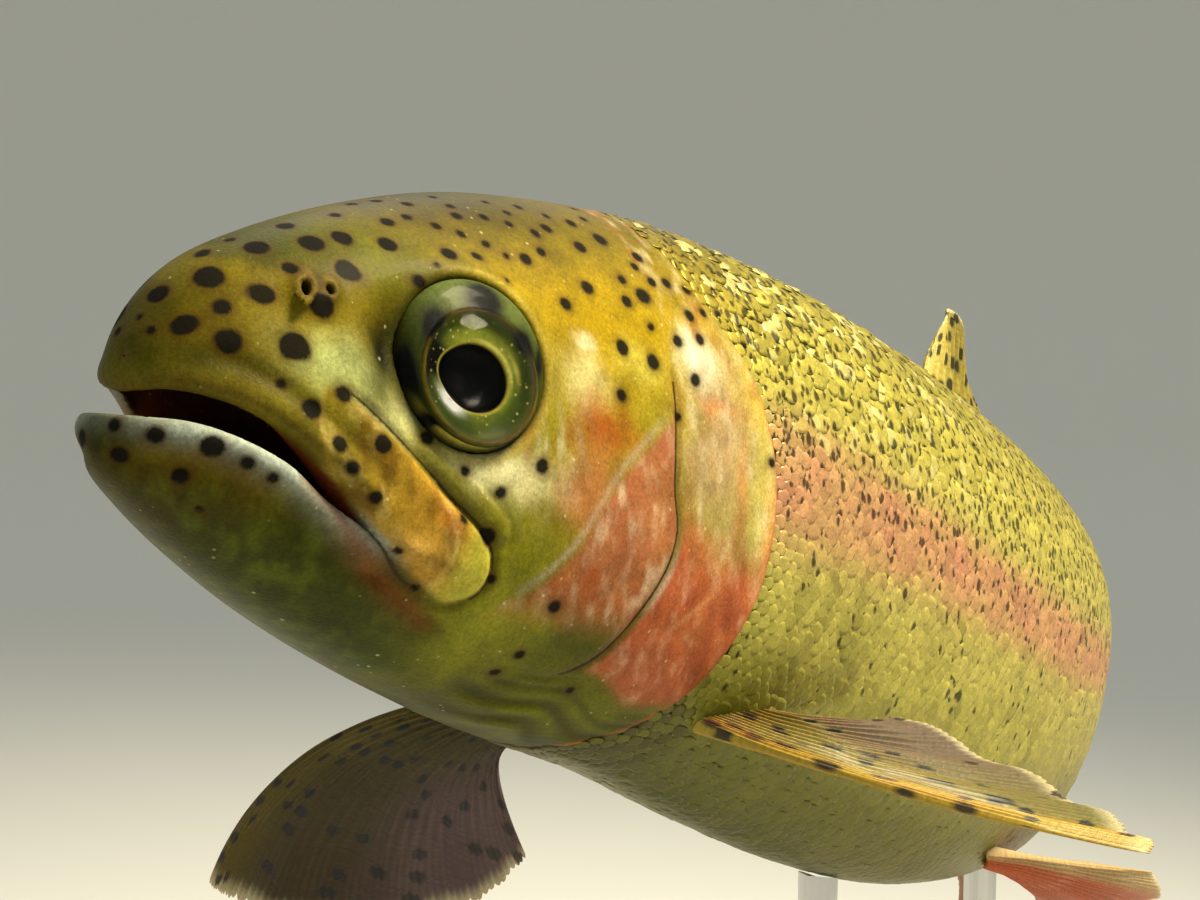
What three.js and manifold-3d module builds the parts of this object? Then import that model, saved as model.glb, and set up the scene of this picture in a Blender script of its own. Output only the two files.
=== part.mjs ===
// A rainbow trout at life size, as a still museum model on a plain stand. Millimetres, +Z up.
//
// The fish is first drawn straight, in its own frame: u runs back from the snout, v to the fish's left
// and w to its back. bend() then turns the tail to the fish's right, and the fish's group tips the head
// up over the stand. In the row frame the head points to -X, the left flank to -Y, and the origin is the
// middle of the base's underside.
import * as THREE from "three";
import { mergeVertices } from "three/addons/utils/BufferGeometryUtils.js";
import Module from "manifold-3d";

const wasm = await Module();
wasm.setup();

// ---- Driving dimensions ---------------------------------------------------------------------------

const HEAD_END = 85; // u of the rear edge of the gill cover
const TRUNK_SPLIT = 165; // the trunk is two solids, before and behind the start of the dorsal fin
const VENT = 252; // the trunk ends and the tail stalk starts
const BODY_END = 352; // the flesh ends here and the tail fin starts
const GAP = 0.3; // clear space between neighbouring solids
const TURN_START = 150; // the body is straight up to this u
const TURN_END = 400; // and the turn to the fish's right is complete at this one
const TAIL_TURN = 58; // degrees
const HEAD_UP = 16.3; // degrees that the whole fish is tipped
const AXIS_HEIGHT = 150; // of the pivot over the floor
const PIVOT_U = 165; // the fish is tipped about this point of its axis, which stands over the base

// The body's outline: u, height of the back, height of the belly, half width, height of the widest place.
const BODY_OUTLINE = [
  [15, 15.8, -18.2, 12.2, -3.6],
  [25, 21.2, -21.8, 15.0, -4.5],
  [38, 26.6, -25.4, 17.4, -4.5],
  [52, 30.4, -28.4, 19.4, -4.0],
  [66, 33.2, -30.6, 20.8, -3.0],
  [85, 35.6, -33.4, 21.8, -1.5],
  [110, 36.6, -38.4, 23.0, -1.0],
  [140, 35.6, -43.2, 24.2, -1.5],
  [170, 33.0, -45.2, 24.2, -2.0],
  [210, 28.4, -42.0, 21.0, -2.0],
  [250, 23.8, -33.4, 15.8, -1.5],
  [290, 19.6, -23.4, 10.4, -1.0],
  [325, 17.2, -18.2, 6.8, 0.0],
  [352, 18.8, -19.2, 4.4, 0.0],
];
// The two jaws have a nose each, and the lower one reaches further.
const UPPER_NOSE = [
  [1.3, -0.8, -0.8, 0.0, -0.8],
  [2.1, 2.9, -4.4, 3.4, -0.8],
  [3.8, 6.5, -6.0, 5.5, -1.0],
  [7, 10.3, -8.6, 7.9, -1.2],
  [11, 13.3, -12.6, 10.4, -2.2],
];
const LOWER_NOSE = [
  [0.2, -8.2, -8.2, 0.0, -8.2],
  [1.1, -4.4, -10.8, 3.4, -7.4],
  [3.2, 4.0, -12.6, 6.2, -5.8],
  [7, 10.2, -14.6, 8.9, -4.4],
];
const BACK_POWER = 2.15; // superellipse power of the upper half of a section; 2 is an ellipse
const BELLY_POWER = 2.05;
const SECTION_POINTS = 30;
const HEAD_RINGS = 12; // sections from the nose to the end of the head, closer together at the nose
const HEAD_RING_CROWDING = 1.7;
const FIRST_RING = 0.35; // the first section's place, in ring steps from the nose
const BODY_RING_STEP = 10;

// Side views (u, w) of the places where a person would part the fish: the gap between the jaws from the
// upper lip's tip back to the corner and out again, the rear edge of the lower jaw, the gill opening, and
// the outlines of the gill cover and of the maxilla, the plate that frames the mouth's corner.
const GAPE = [
  [-6, -4.6], [0.8, -4.5], [3.6, -3.2], [8.5, -3.4], [13.5, -5.3], [19.6, -8.7], [24, -12],
  [18.6, -10], [14.3, -7.9], [9.2, -6.4], [4.8, -5.8], [1.5, -6.1], [-6, -6.6],
];
const JAW_REAR = [[24, -12], [30, -15.6], [38, -18.6], [46, -22], [46, -50]];
const GILL_OPENING = [
  [63, 60], [64, 34], [69.5, 22.5], [76, 18.5], [81, 12], [84, 5], [84.6, -2], [83.8, -10],
  [80.6, -19], [76, -25.5], [68, -31], [64, -60],
];
const GILL_COVER = [
  [71, 21.4], [76, 18], [80.6, 12], [83.4, 5], [84, -2], [83.2, -10], [80, -19], [76, -24],
  [68, -25], [59.3, -19.2], [61.8, -13.6], [63.8, -8], [64.3, -3], [63.6, 4], [62.1, 9.5], [65, 16],
];
const MAXILLA = [
  [15.2, 0], [18, -0.4], [21.7, -2.2], [25, -4], [30.2, -7], [36, -9.8], [38.4, -12.6], [38.4, -15.4],
  [35.6, -17.1], [32.3, -16.2], [28, -14.4], [24.6, -12.4], [20, -9.2], [16.6, -7], [14.6, -3.6],
];
const GILL_COVER_SKINS = [-2.4, 0.5]; // a plate lies between the body's outline grown by these two
const MAXILLA_SKINS = [-1.6, 0.9];

// Eyes: a lens-shaped ball whose axis looks a little ahead and up.
const EYE_CENTRE = [30.8, 14.4, 6.6]; // the middle of the disc that the skin frames, on the left side
const EYE_RADIUS = 8.9;
const EYE_BULGE = 2.6;
const EYE_DEPTH = 8;
const EYE_AHEAD = 18; // degrees
const EYE_UP = 9;
const EYE_RINGS = 10;

// The stand.
const BASE_LENGTH = 230;
const BASE_WIDTH = 130;
const BASE_THICK = 14;
const BASE_CORNER = 26;
const BASE_EASE = 2; // bevel round the base's top edge
const ROD_RADIUS = 3;
const ROD_SIDES = 20;
const ROD_SEAT = 8; // how deep a rod stands in the base
const ROD_PLACES = { stand_rod_front: 150, stand_rod_rear: 226 }; // u of the belly over each rod

// ---- Curves -----------------------------------------------------------------------------------------

// A smooth function through the points (xs, ys), in cubic pieces with slopes from the neighbours.
function smoothThrough(xs, ys) {
  const slopes = xs.map((_, i) => {
    const a = Math.max(i - 1, 0);
    const b = Math.min(i + 1, xs.length - 1);
    return (ys[b] - ys[a]) / (xs[b] - xs[a]);
  });
  return (x) => {
    const later = xs.findIndex((limit) => x < limit);
    const i = later < 0 ? xs.length - 2 : Math.max(later - 1, 0);
    const h = xs[i + 1] - xs[i];
    const t = THREE.MathUtils.clamp((x - xs[i]) / h, 0, 1);
    const t2 = t * t;
    const t3 = t2 * t;
    return (
      (2 * t3 - 3 * t2 + 1) * ys[i] +
      (t3 - 2 * t2 + t) * h * slopes[i] +
      (3 * t2 - 2 * t3) * ys[i + 1] +
      (t3 - t2) * h * slopes[i + 1]
    );
  };
}

// An outline is smooth in the square root of the distance from its nose, which rounds the snout.
function outlineFrom(noseRows) {
  const rows = [...noseRows, ...BODY_OUTLINE];
  const noseU = rows[0][0];
  const rootOf = (u) => Math.sqrt(Math.max(u - noseU, 0));
  const column = (k) => {
    const curve = smoothThrough(rows.map((row) => rootOf(row[0])), rows.map((row) => row[k]));
    return (u) => curve(rootOf(u));
  };
  return { noseU, back: column(1), belly: column(2), half: column(3), widest: column(4) };
}
const upperOutline = outlineFrom(UPPER_NOSE);
const lowerOutline = outlineFrom(LOWER_NOSE);

// The body's axis: its heading at u, and its path as the sum of 1 mm steps.
const heading = (u) =>
  THREE.MathUtils.degToRad(TAIL_TURN) * THREE.MathUtils.smoothstep(u, TURN_START, TURN_END);
const axisPath = [new THREE.Vector2()];
for (let u = 0; u < TURN_END + 60; u += 1) {
  const step = new THREE.Vector2(1, 0).rotateAround(new THREE.Vector2(), heading(u + 0.5));
  axisPath.push(axisPath.at(-1).clone().add(step));
}

// Takes a point of the straight fish to its place on the bent one, with x back, y right and z up.
function bend(u, v, w) {
  const whole = Math.max(Math.floor(u), 0);
  const middle = axisPath[whole].clone();
  const turn = heading(u);
  middle.x += (u - whole) * Math.cos(turn);
  middle.y += (u - whole) * Math.sin(turn);
  return new THREE.Vector3(middle.x + v * Math.sin(turn), middle.y - v * Math.cos(turn), w);
}

// ---- Solids -----------------------------------------------------------------------------------------

function solidOf(geometry) {
  const bare = geometry.clone();
  bare.deleteAttribute("normal");
  bare.deleteAttribute("uv");
  const merged = mergeVertices(bare, 1e-4);
  return new wasm.Manifold(
    new wasm.Mesh({
      numProp: 3,
      vertProperties: new Float32Array(merged.attributes.position.array),
      triVerts: new Uint32Array(merged.index.array),
    }),
  );
}

function geometryOf(solid) {
  const mesh = solid.getMesh();
  return new THREE.BufferGeometry()
    .setAttribute("position", new THREE.BufferAttribute(new Float32Array(mesh.vertProperties), 3))
    .setIndex(new THREE.BufferAttribute(new Uint32Array(mesh.triVerts), 1));
}

const middleOf = (points) =>
  points.reduce((sum, p) => sum.add(p), new THREE.Vector3()).divideScalar(points.length);

// A closed skin over rings of points: each ring joins the next, and the two ends close on their middles.
function closedLoft(rings) {
  const n = rings[0].length;
  const points = [middleOf(rings[0]), ...rings.flat(), middleOf(rings.at(-1))];
  const index = [];
  const at = (r, k) => 1 + r * n + (k % n);
  const last = rings.length - 1;
  for (let k = 0; k < n; k += 1) {
    index.push(0, at(0, k), at(0, k + 1));
    index.push(points.length - 1, at(last, k + 1), at(last, k));
    for (let r = 0; r < last; r += 1) {
      index.push(at(r, k), at(r + 1, k + 1), at(r, k + 1));
      index.push(at(r, k), at(r + 1, k), at(r + 1, k + 1));
    }
  }
  return solidOf(new THREE.BufferGeometry().setFromPoints(points).setIndex(index));
}

// The straight body's section at u, grown by `extra` all round.
const signedPower = (x, power) => Math.sign(x) * Math.abs(x) ** power;
function bodySection(outline, u, extra) {
  const widest = outline.widest(u);
  return Array.from({ length: SECTION_POINTS }, (_, k) => {
    const angle = (2 * Math.PI * k) / SECTION_POINTS;
    const up = Math.cos(angle);
    const power = 2 / (up > 0 ? BACK_POWER : BELLY_POWER);
    const reach = (up > 0 ? outline.back(u) - widest : widest - outline.belly(u)) + extra;
    return new THREE.Vector3(
      u,
      signedPower(Math.sin(angle), power) * Math.max(outline.half(u) + extra, GAP),
      widest + signedPower(up, power) * Math.max(reach, GAP),
    );
  });
}

function bodyLoft(outline, extra = 0) {
  const places = [];
  for (let i = 0; i < HEAD_RINGS; i += 1) {
    const share = ((i + FIRST_RING) / HEAD_RINGS) ** HEAD_RING_CROWDING;
    places.push(outline.noseU + (HEAD_END - outline.noseU) * share);
  }
  for (let u = HEAD_END; u < BODY_END - 2; u += BODY_RING_STEP) places.push(u);
  places.push(BODY_END + Math.max(extra, 0));
  return closedLoft(places.map((u) => bodySection(outline, u, extra)));
}

// A block with a side-view outline (u, w) that fills the widths from `right` to `left`.
const FAR = 60; // further out than any point of the body's section
function sideBlock(outline, right = -FAR, left = FAR) {
  const shape = new THREE.Shape(outline.map(([u, w]) => new THREE.Vector2(u, w)));
  const block = new THREE.ExtrudeGeometry(shape, { depth: left - right, bevelEnabled: false });
  block.rotateX(Math.PI / 2);
  block.translate(0, left, 0);
  return solidOf(block);
}

// A line of side-view points moved `distance` to its own right.
function shifted(line, distance) {
  const points = line.map(([u, w]) => new THREE.Vector2(u, w));
  return points.map((point, i) => {
    const before = points[Math.max(i - 1, 0)];
    const after = points[Math.min(i + 1, points.length - 1)];
    const along = after.clone().sub(before).normalize();
    return [point.x + along.y * distance, point.y - along.x * distance];
  });
}

// A closed side-view outline, drawn clockwise, grown outwards by `distance`.
function grown(outline, distance) {
  const n = outline.length;
  return outline.map(([u, w], i) => {
    const before = outline[(i + n - 1) % n];
    const after = outline[(i + 1) % n];
    const along = new THREE.Vector2(after[0] - before[0], after[1] - before[1]).normalize();
    return [u - along.y * distance, w + along.x * distance];
  });
}

// Everything ahead of, or behind, a line that crosses the fish from top to bottom.
const aheadOf = (line) => sideBlock([[-FAR, line.at(-1)[1]], [-FAR, line[0][1]], ...line]);
const behind = (line) =>
  sideBlock([[2 * BODY_END, line[0][1]], [2 * BODY_END, line.at(-1)[1]], ...line.toReversed()]);
const crossing = (u) => [[u, 2 * FAR], [u, -2 * FAR]];

// ---- The body and its parts ----------------------------------------------------------------------

const upperBody = bodyLoft(upperOutline);
const lowerBody = bodyLoft(lowerOutline);
const clearance = bodyLoft(lowerOutline, GAP).add(bodyLoft(upperOutline, GAP));
const fish = new THREE.Group();

function finish(colour, roughness) {
  return new THREE.MeshStandardMaterial({ color: colour, roughness, metalness: 0 });
}
const backSkin = finish(0x8a8436, 0.4);
const jawSkin = finish(0x6f7440, 0.4);
const coverSkin = finish(0xc98a78, 0.35);
const lipSkin = finish(0xa8893e, 0.4);
const tailSkin = finish(0x98904a, 0.4);
const finSkin = finish(0xb98d3c, 0.5);
const eyeSurface = finish(0x2c3016, 0.1);
const standPaint = finish(0xd9d4c8, 0.6);
const rodMetal = new THREE.MeshStandardMaterial({ color: 0xb4b6b8, roughness: 0.35, metalness: 1 });

// Moves a solid's vertices by bend(), which mirrors it, so that each face is turned over.
function bentGeometry(solid) {
  const geometry = geometryOf(solid);
  const position = geometry.attributes.position;
  for (let i = 0; i < position.count; i += 1) {
    const point = bend(position.getX(i), position.getY(i), position.getZ(i));
    position.setXYZ(i, point.x, point.y, point.z);
  }
  const index = geometry.index.array;
  for (let i = 0; i < index.length; i += 3) {
    [index[i + 1], index[i + 2]] = [index[i + 2], index[i + 1]];
  }
  return geometry;
}

function nodeOf(name, geometry, material) {
  geometry.computeVertexNormals();
  const mesh = new THREE.Mesh(geometry, material);
  mesh.name = name;
  return mesh;
}

function addFishNode(name, solid, material) {
  fish.add(nodeOf(name, bentGeometry(solid), material));
}

const SIDES = { left: 1, right: -1 };
const oneSide = (outline, side) => sideBlock(outline, side > 0 ? 1 : -FAR, side > 0 ? FAR : -1);

// A plate of the head's side and the pocket that its neighbours leave for it.
function plate(outline, [inner, outer], side) {
  const cover = bodyLoft(upperOutline, outer);
  const core = bodyLoft(upperOutline, inner);
  return oneSide(outline, side).intersect(cover).subtract(core);
}
function pocket(outline, [inner], side) {
  const core = bodyLoft(upperOutline, inner - GAP);
  return oneSide(grown(outline, GAP), side).subtract(core);
}

// The eye: a shallow cap in front, a deeper ball behind, turned about the axis of a lathe.
function eyeball(side, extra) {
  const radius = EYE_RADIUS + extra;
  const profile = [];
  const steps = EYE_RINGS;
  for (let i = 0; i <= steps; i += 1) {
    const angle = -Math.PI / 2 + (Math.PI * i) / steps;
    const height = Math.sin(angle) * (angle < 0 ? EYE_DEPTH + extra : EYE_BULGE + extra);
    profile.push(new THREE.Vector2(Math.max(radius * Math.cos(angle), 0), height));
  }
  profile[0].x = 0;
  profile[steps].x = 0;
  const ball = new THREE.LatheGeometry(profile, 2 * EYE_RINGS);
  const ahead = THREE.MathUtils.degToRad(EYE_AHEAD);
  const up = THREE.MathUtils.degToRad(EYE_UP);
  const axis = new THREE.Vector3(-Math.sin(ahead), side * Math.cos(ahead), 0);
  axis.multiplyScalar(Math.cos(up)).setZ(Math.sin(up));
  ball.applyQuaternion(new THREE.Quaternion().setFromUnitVectors(new THREE.Vector3(0, 1, 0), axis));
  ball.translate(EYE_CENTRE[0], side * EYE_CENTRE[1], EYE_CENTRE[2]);
  return solidOf(ball);
}

let headStock = upperBody.intersect(aheadOf(GILL_OPENING));
let jawStock = lowerBody;
let trunkStock = upperBody.intersect(behind(shifted(GILL_OPENING, -GAP)));
for (const [sideName, side] of Object.entries(SIDES)) {
  for (const [name, outline, skins, material] of [
    ["gill_cover", GILL_COVER, GILL_COVER_SKINS, coverSkin],
    ["maxilla", MAXILLA, MAXILLA_SKINS, lipSkin],
  ]) {
    addFishNode(`${name}_${sideName}`, plate(outline, skins, side), material);
    headStock = headStock.subtract(pocket(outline, skins, side));
    jawStock = jawStock.subtract(pocket(outline, skins, side));
    trunkStock = trunkStock.subtract(pocket(outline, skins, side));
  }
  addFishNode(`eye_${sideName}`, eyeball(side, 0), eyeSurface);
  headStock = headStock.subtract(eyeball(side, GAP));
}

// The upper jaw and the rest of the head lie over the gape, and the lower jaw under it.
const upperLip = GAPE.slice(0, 7);
const lowerLip = GAPE.slice(7);
const jawSpace = [[-FAR, upperLip[0][1]], ...upperLip, ...JAW_REAR, [-FAR, JAW_REAR.at(-1)[1]]];
const jawOutline = [
  [-FAR, lowerLip.at(-1)[1]],
  ...lowerLip.toReversed(),
  ...JAW_REAR,
  [-FAR, JAW_REAR.at(-1)[1]],
];
addFishNode("head", headStock.subtract(sideBlock(jawSpace)), backSkin);
addFishNode("lower_jaw", jawStock.intersect(sideBlock(grown(jawOutline, -GAP))), jawSkin);

addFishNode("trunk_front", trunkStock.intersect(aheadOf(crossing(TRUNK_SPLIT))), backSkin);
const trunkRear = trunkStock.intersect(behind(crossing(TRUNK_SPLIT + GAP)));
addFishNode("trunk_rear", trunkRear.intersect(aheadOf(crossing(VENT))), backSkin);
addFishNode("tail_stalk", trunkStock.intersect(behind(crossing(VENT + GAP))), tailSkin);

// ---- Fins -------------------------------------------------------------------------------------------

// Each fin is a fan of rays from a root line to a tip line, both given front to rear in (u, v, w) on the
// left side. bow moves the middle of each ray off its straight line.
const FINS = {
  dorsal_fin: {
    roots: [[160, 0, 31.5], [184, 0, 29.5], [208, 0, 26.5]],
    tips: [[164, -1, 42], [171, -1.5, 50], [186, -2, 51], [203, -1.5, 46], [218, -1, 37]],
    bow: [0, 0, 1],
  },
  adipose_fin: {
    roots: [[296, 0, 16.5], [300, 0, 16], [304, 0, 15.6]],
    tips: [[305, 0, 26.5], [310, 0, 28.5], [313, 0, 25.5]],
    bow: [0, 0, 0.6],
    rootThick: 3.4,
    tipThick: 2,
  },
  anal_fin: {
    roots: [[262, 0, -28.5], [280, 0, -23.5], [297, 0, -19.5]],
    tips: [[268, 0, -38], [281, 0, -60], [290, 0, -62.5], [302, 0, -53], [309, 0, -37]],
    bow: [-1.5, 0, 0],
  },
  caudal_fin: {
    roots: [[346, 0, 16.5], [349, 0, 0], [346, 0, -17]],
    tips: [[360, 0, 24], [398, 0, 47], [400, 0, 44], [389, 0, 24], [384, 0, 0], [389, 0, -24],
      [400, 0, -44], [398, 0, -47], [360, 0, -24]],
    bow: [0, 0, 0],
    rays: 17,
  },
};
const PAIRED_FINS = {
  pectoral_fin_left: {
    roots: [[83.5, 13.5, -24.6], [87, 14.5, -23.4], [91, 15, -21.4]],
    tips: [[116, 61, -30.4], [121, 57, -29], [128, 46, -26], [127, 34, -22.5], [119, 24.4, -19]],
    bow: [-1.5, 1, -1.2],
  },
  pectoral_fin_right: {
    roots: [[80, -14.5, -25.5], [84.5, -13.5, -27.5], [89, -12, -30]],
    tips: [[84, -60, -58], [92, -60, -61], [104, -50, -62], [113, -38, -57], [113, -27, -48]],
    bow: [-6, -2, 4.5],
  },
  pelvic_fin_left: {
    roots: [[182, 13, -37], [186, 12, -38.4], [191, 10, -39.4]],
    tips: [[213, 33, -37], [221, 33, -41], [227, 28, -45], [225, 20, -47], [215, 13, -46]],
    bow: [0, 2, 0],
  },
  pelvic_fin_right: {
    roots: [[182, -13, -37], [186, -12, -38.4], [191, -10, -39.4]],
    tips: [[213, -33, -37], [221, -33, -41], [227, -28, -45], [225, -20, -47], [215, -13, -46]],
    bow: [0, -2, 0],
  },
};
const FIN_ROOT_THICK = 2.4;
const FIN_TIP_THICK = 0.8;
const FIN_RAYS = 10; // lines of points from root to tip
const FIN_STEPS = 5; // and the steps along each

const smoothLine = (points) => new THREE.CatmullRomCurve3(points.map((p) => new THREE.Vector3(...p)));

function finSheet({ roots, tips, bow }, rays) {
  const rootLine = smoothLine(roots);
  const tipLine = smoothLine(tips);
  const rows = [];
  for (let i = 0; i < rays; i += 1) {
    const root = rootLine.getPoint(i / (rays - 1));
    const tip = tipLine.getPoint(i / (rays - 1));
    const row = [];
    for (let j = 0; j <= FIN_STEPS; j += 1) {
      const t = j / FIN_STEPS;
      const point = root.clone().lerp(tip, t);
      row.push(point.addScaledVector(new THREE.Vector3(...bow), 4 * t * (1 - t)));
    }
    rows.push(row);
  }
  return rows;
}

// A fin's solid: its sheet with a thickness that falls from root to tip.
function finSolid(shape) {
  const { rays = FIN_RAYS, rootThick = FIN_ROOT_THICK, tipThick = FIN_TIP_THICK } = shape;
  const sheet = finSheet(shape, rays);
  const across = FIN_STEPS + 1;
  const faces = [[], []];
  sheet.forEach((row, i) =>
    row.forEach((point, j) => {
      const alongRoot = sheet[Math.min(i + 1, rays - 1)][j].clone().sub(sheet[Math.max(i - 1, 0)][j]);
      const alongRay = row[Math.min(j + 1, FIN_STEPS)].clone().sub(row[Math.max(j - 1, 0)]);
      const normal = alongRoot.cross(alongRay).normalize();
      const half = THREE.MathUtils.lerp(rootThick, tipThick, j / FIN_STEPS) / 2;
      faces[0].push(point.clone().addScaledVector(normal, half));
      faces[1].push(point.clone().addScaledVector(normal, -half));
    }),
  );
  const count = rays * across;
  const index = [];
  const quad = (a, b, c, d) => index.push(a, b, c, a, c, d);
  for (let i = 0; i + 1 < rays; i += 1) {
    for (let j = 0; j < FIN_STEPS; j += 1) {
      const corners = [i * across + j, (i + 1) * across + j, (i + 1) * across + j + 1, i * across + j + 1];
      quad(...corners);
      quad(...corners.map((k) => k + count).toReversed());
    }
    const rootPair = [i * across, (i + 1) * across];
    quad(rootPair[0], rootPair[0] + count, rootPair[1] + count, rootPair[1]);
    const tipPair = rootPair.map((k) => k + FIN_STEPS);
    quad(tipPair[1], tipPair[1] + count, tipPair[0] + count, tipPair[0]);
  }
  for (let j = 0; j < FIN_STEPS; j += 1) {
    quad(j, j + 1, j + 1 + count, j + count);
    const last = (rays - 1) * across + j;
    quad(last + 1, last, last + count, last + 1 + count);
  }
  return solidOf(new THREE.BufferGeometry().setFromPoints(faces.flat()).setIndex(index));
}

for (const [name, shape] of Object.entries({ ...FINS, ...PAIRED_FINS })) {
  addFishNode(name, finSolid(shape).subtract(clearance), finSkin);
}

// ---- The fish over its stand ---------------------------------------------------------------------

const headUp = THREE.MathUtils.degToRad(HEAD_UP);
fish.rotation.y = headUp;
fish.position.set(-PIVOT_U * Math.cos(headUp), 0, AXIS_HEIGHT + PIVOT_U * Math.sin(headUp));
fish.updateMatrixWorld();

const trout = new THREE.Group();
trout.add(fish);

function roundedPlate() {
  const x = BASE_LENGTH / 2 - BASE_EASE;
  const y = BASE_WIDTH / 2 - BASE_EASE;
  const r = BASE_CORNER - BASE_EASE;
  const outline = new THREE.Shape();
  outline.absarc(x - r, y - r, r, 0, Math.PI / 2);
  outline.absarc(r - x, y - r, r, Math.PI / 2, Math.PI);
  outline.absarc(r - x, r - y, r, Math.PI, 1.5 * Math.PI);
  outline.absarc(x - r, r - y, r, 1.5 * Math.PI, 2 * Math.PI);
  const plate = new THREE.ExtrudeGeometry(outline, {
    depth: BASE_THICK - 2 * BASE_EASE,
    bevelThickness: BASE_EASE,
    bevelSize: BASE_EASE,
    bevelSegments: 1,
    curveSegments: 6,
  });
  return plate.translate(0, 0, BASE_EASE);
}

function uprightRod(radius, x, y, from, to) {
  const rod = new THREE.CylinderGeometry(radius, radius, to - from, ROD_SIDES);
  return solidOf(rod.rotateX(Math.PI / 2).translate(x, y, (from + to) / 2));
}

const placedClearance = solidOf(bentGeometry(clearance).applyMatrix4(fish.matrixWorld));
let base = solidOf(roundedPlate());
for (const [name, u] of Object.entries(ROD_PLACES)) {
  const foot = bend(u, 0, lowerOutline.belly(u)).applyMatrix4(fish.matrixWorld);
  const seat = BASE_THICK - ROD_SEAT;
  const inFlesh = foot.z + 3 * ROD_RADIUS;
  const rod = uprightRod(ROD_RADIUS, foot.x, foot.y, seat + GAP, inFlesh).subtract(placedClearance);
  base = base.subtract(uprightRod(ROD_RADIUS + GAP, foot.x, foot.y, seat, BASE_THICK + 1));
  trout.add(nodeOf(name, geometryOf(rod), rodMetal));
}
trout.add(nodeOf("stand_base", geometryOf(base), standPaint));

export default trout;
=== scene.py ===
# %% [markdown]
# # A rainbow trout at life size
# The fish is one closed skin with separate glass eyes, a coat of small scales and thin ribbed fins, and
# a plain stand carries it. Everything is worked out first on a straight fish in millimetres, where `u` runs
# back from the snout, `v` to the fish's left and `w` up to its back. One function then turns the tail aside,
# tips the head up and gives metres, so each piece is made where it is simple and placed the same way.

import math

import bmesh
import bpy
import numpy as np
from mathutils import Euler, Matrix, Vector
from mathutils.bvhtree import BVHTree


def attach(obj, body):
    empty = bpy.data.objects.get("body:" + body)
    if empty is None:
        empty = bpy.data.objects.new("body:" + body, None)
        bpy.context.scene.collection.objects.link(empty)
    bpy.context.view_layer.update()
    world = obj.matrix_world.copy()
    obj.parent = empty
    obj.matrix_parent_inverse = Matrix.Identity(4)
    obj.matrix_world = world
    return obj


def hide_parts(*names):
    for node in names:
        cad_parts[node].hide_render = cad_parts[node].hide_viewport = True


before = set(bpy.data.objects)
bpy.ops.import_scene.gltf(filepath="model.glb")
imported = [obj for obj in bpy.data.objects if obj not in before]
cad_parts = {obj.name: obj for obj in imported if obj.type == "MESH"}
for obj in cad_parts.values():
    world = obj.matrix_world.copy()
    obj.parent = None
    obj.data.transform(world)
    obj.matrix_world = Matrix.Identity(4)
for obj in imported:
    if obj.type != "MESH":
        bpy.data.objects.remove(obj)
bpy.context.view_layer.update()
MM = 0.001
link = bpy.context.scene.collection.objects.link
print("solids in the frame:", len(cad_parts))

# %% [markdown]
# ## The camera
# The camera comes first, because some marks are placed by where they are seen. It looks back along the
# fish's left side from ahead of the snout, a little above it, with a lens a bit longer than 50 mm.

# %% Camera
CAMERA_PLACE = (-0.2667, -0.1302, 0.2026)
CAMERA_TURN = (84.49, -0.05, -54.56)  # degrees about X, Y and Z
LENS = 55.27
SENSOR = 36.0
PICTURE = (1200, 900)

camera_data = bpy.data.cameras.new("camera")
camera_data.lens = LENS
camera_data.sensor_width = SENSOR
camera_data.clip_start = 0.01
camera = bpy.data.objects.new("camera", camera_data)
camera.location = CAMERA_PLACE
camera.rotation_euler = [math.radians(angle) for angle in CAMERA_TURN]
link(camera)
bpy.context.scene.camera = camera
bpy.context.scene.view_settings.view_transform = "Standard"


def sight_line(x, y):
    """The direction in which the camera sees the picture's pixel (x, y)."""
    across = (x - PICTURE[0] / 2) / PICTURE[0] * SENSOR / LENS
    down = (y - PICTURE[1] / 2) / PICTURE[0] * SENSOR / LENS
    return Euler(camera.rotation_euler).to_matrix() @ Vector((across, -down, -1)).normalized()


print("camera at", CAMERA_PLACE)

# %% [markdown]
# ## The body's outline
# A fish's body is a spindle: at each place along it the section is nearly an ellipse, a bit fuller above.
# A table of a few sections gives back, belly and width, and a smooth curve runs through them. The curve is
# smooth in the square root of the distance from the nose, which makes the snout round instead of pointed.
# The two jaws have a nose each, and the lower one reaches further.

# %% Outline
BODY_OUTLINE = [  # u, back, belly, half width, height of the widest place
    (15, 15.8, -18.2, 12.2, -3.6), (25, 21.2, -21.8, 15.0, -4.5), (38, 26.6, -25.4, 17.4, -4.5),
    (52, 30.4, -28.4, 19.4, -4.0), (66, 33.2, -30.6, 20.8, -3.0), (85, 35.6, -33.4, 21.8, -1.5),
    (110, 36.6, -38.4, 23.0, -1.0), (140, 35.6, -43.2, 24.2, -1.5), (170, 33.0, -45.2, 24.2, -2.0),
    (210, 28.4, -42.0, 21.0, -2.0), (250, 23.8, -33.4, 15.8, -1.5), (290, 19.6, -23.4, 10.4, -1.0),
    (325, 17.2, -18.2, 6.8, 0.0), (352, 18.8, -19.2, 4.4, 0.0),
]
UPPER_NOSE = [
    (1.3, -0.8, -0.8, 0.0, -0.8), (2.1, 2.9, -4.4, 3.4, -0.8), (3.8, 6.5, -6.0, 5.5, -1.0),
    (7, 10.3, -8.6, 7.9, -1.2), (11, 13.3, -12.6, 10.4, -2.2),
]
LOWER_NOSE = [
    (0.2, -8.2, -8.2, 0.0, -8.2), (1.1, -4.4, -10.8, 3.4, -7.4), (3.2, 4.0, -12.6, 6.2, -5.8),
    (7, 10.2, -14.6, 8.9, -4.4),
]
BACK_POWER, BELLY_POWER = 2.15, 2.05  # 2 makes a section an ellipse, more makes it fuller
BODY_END = 352


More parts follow.
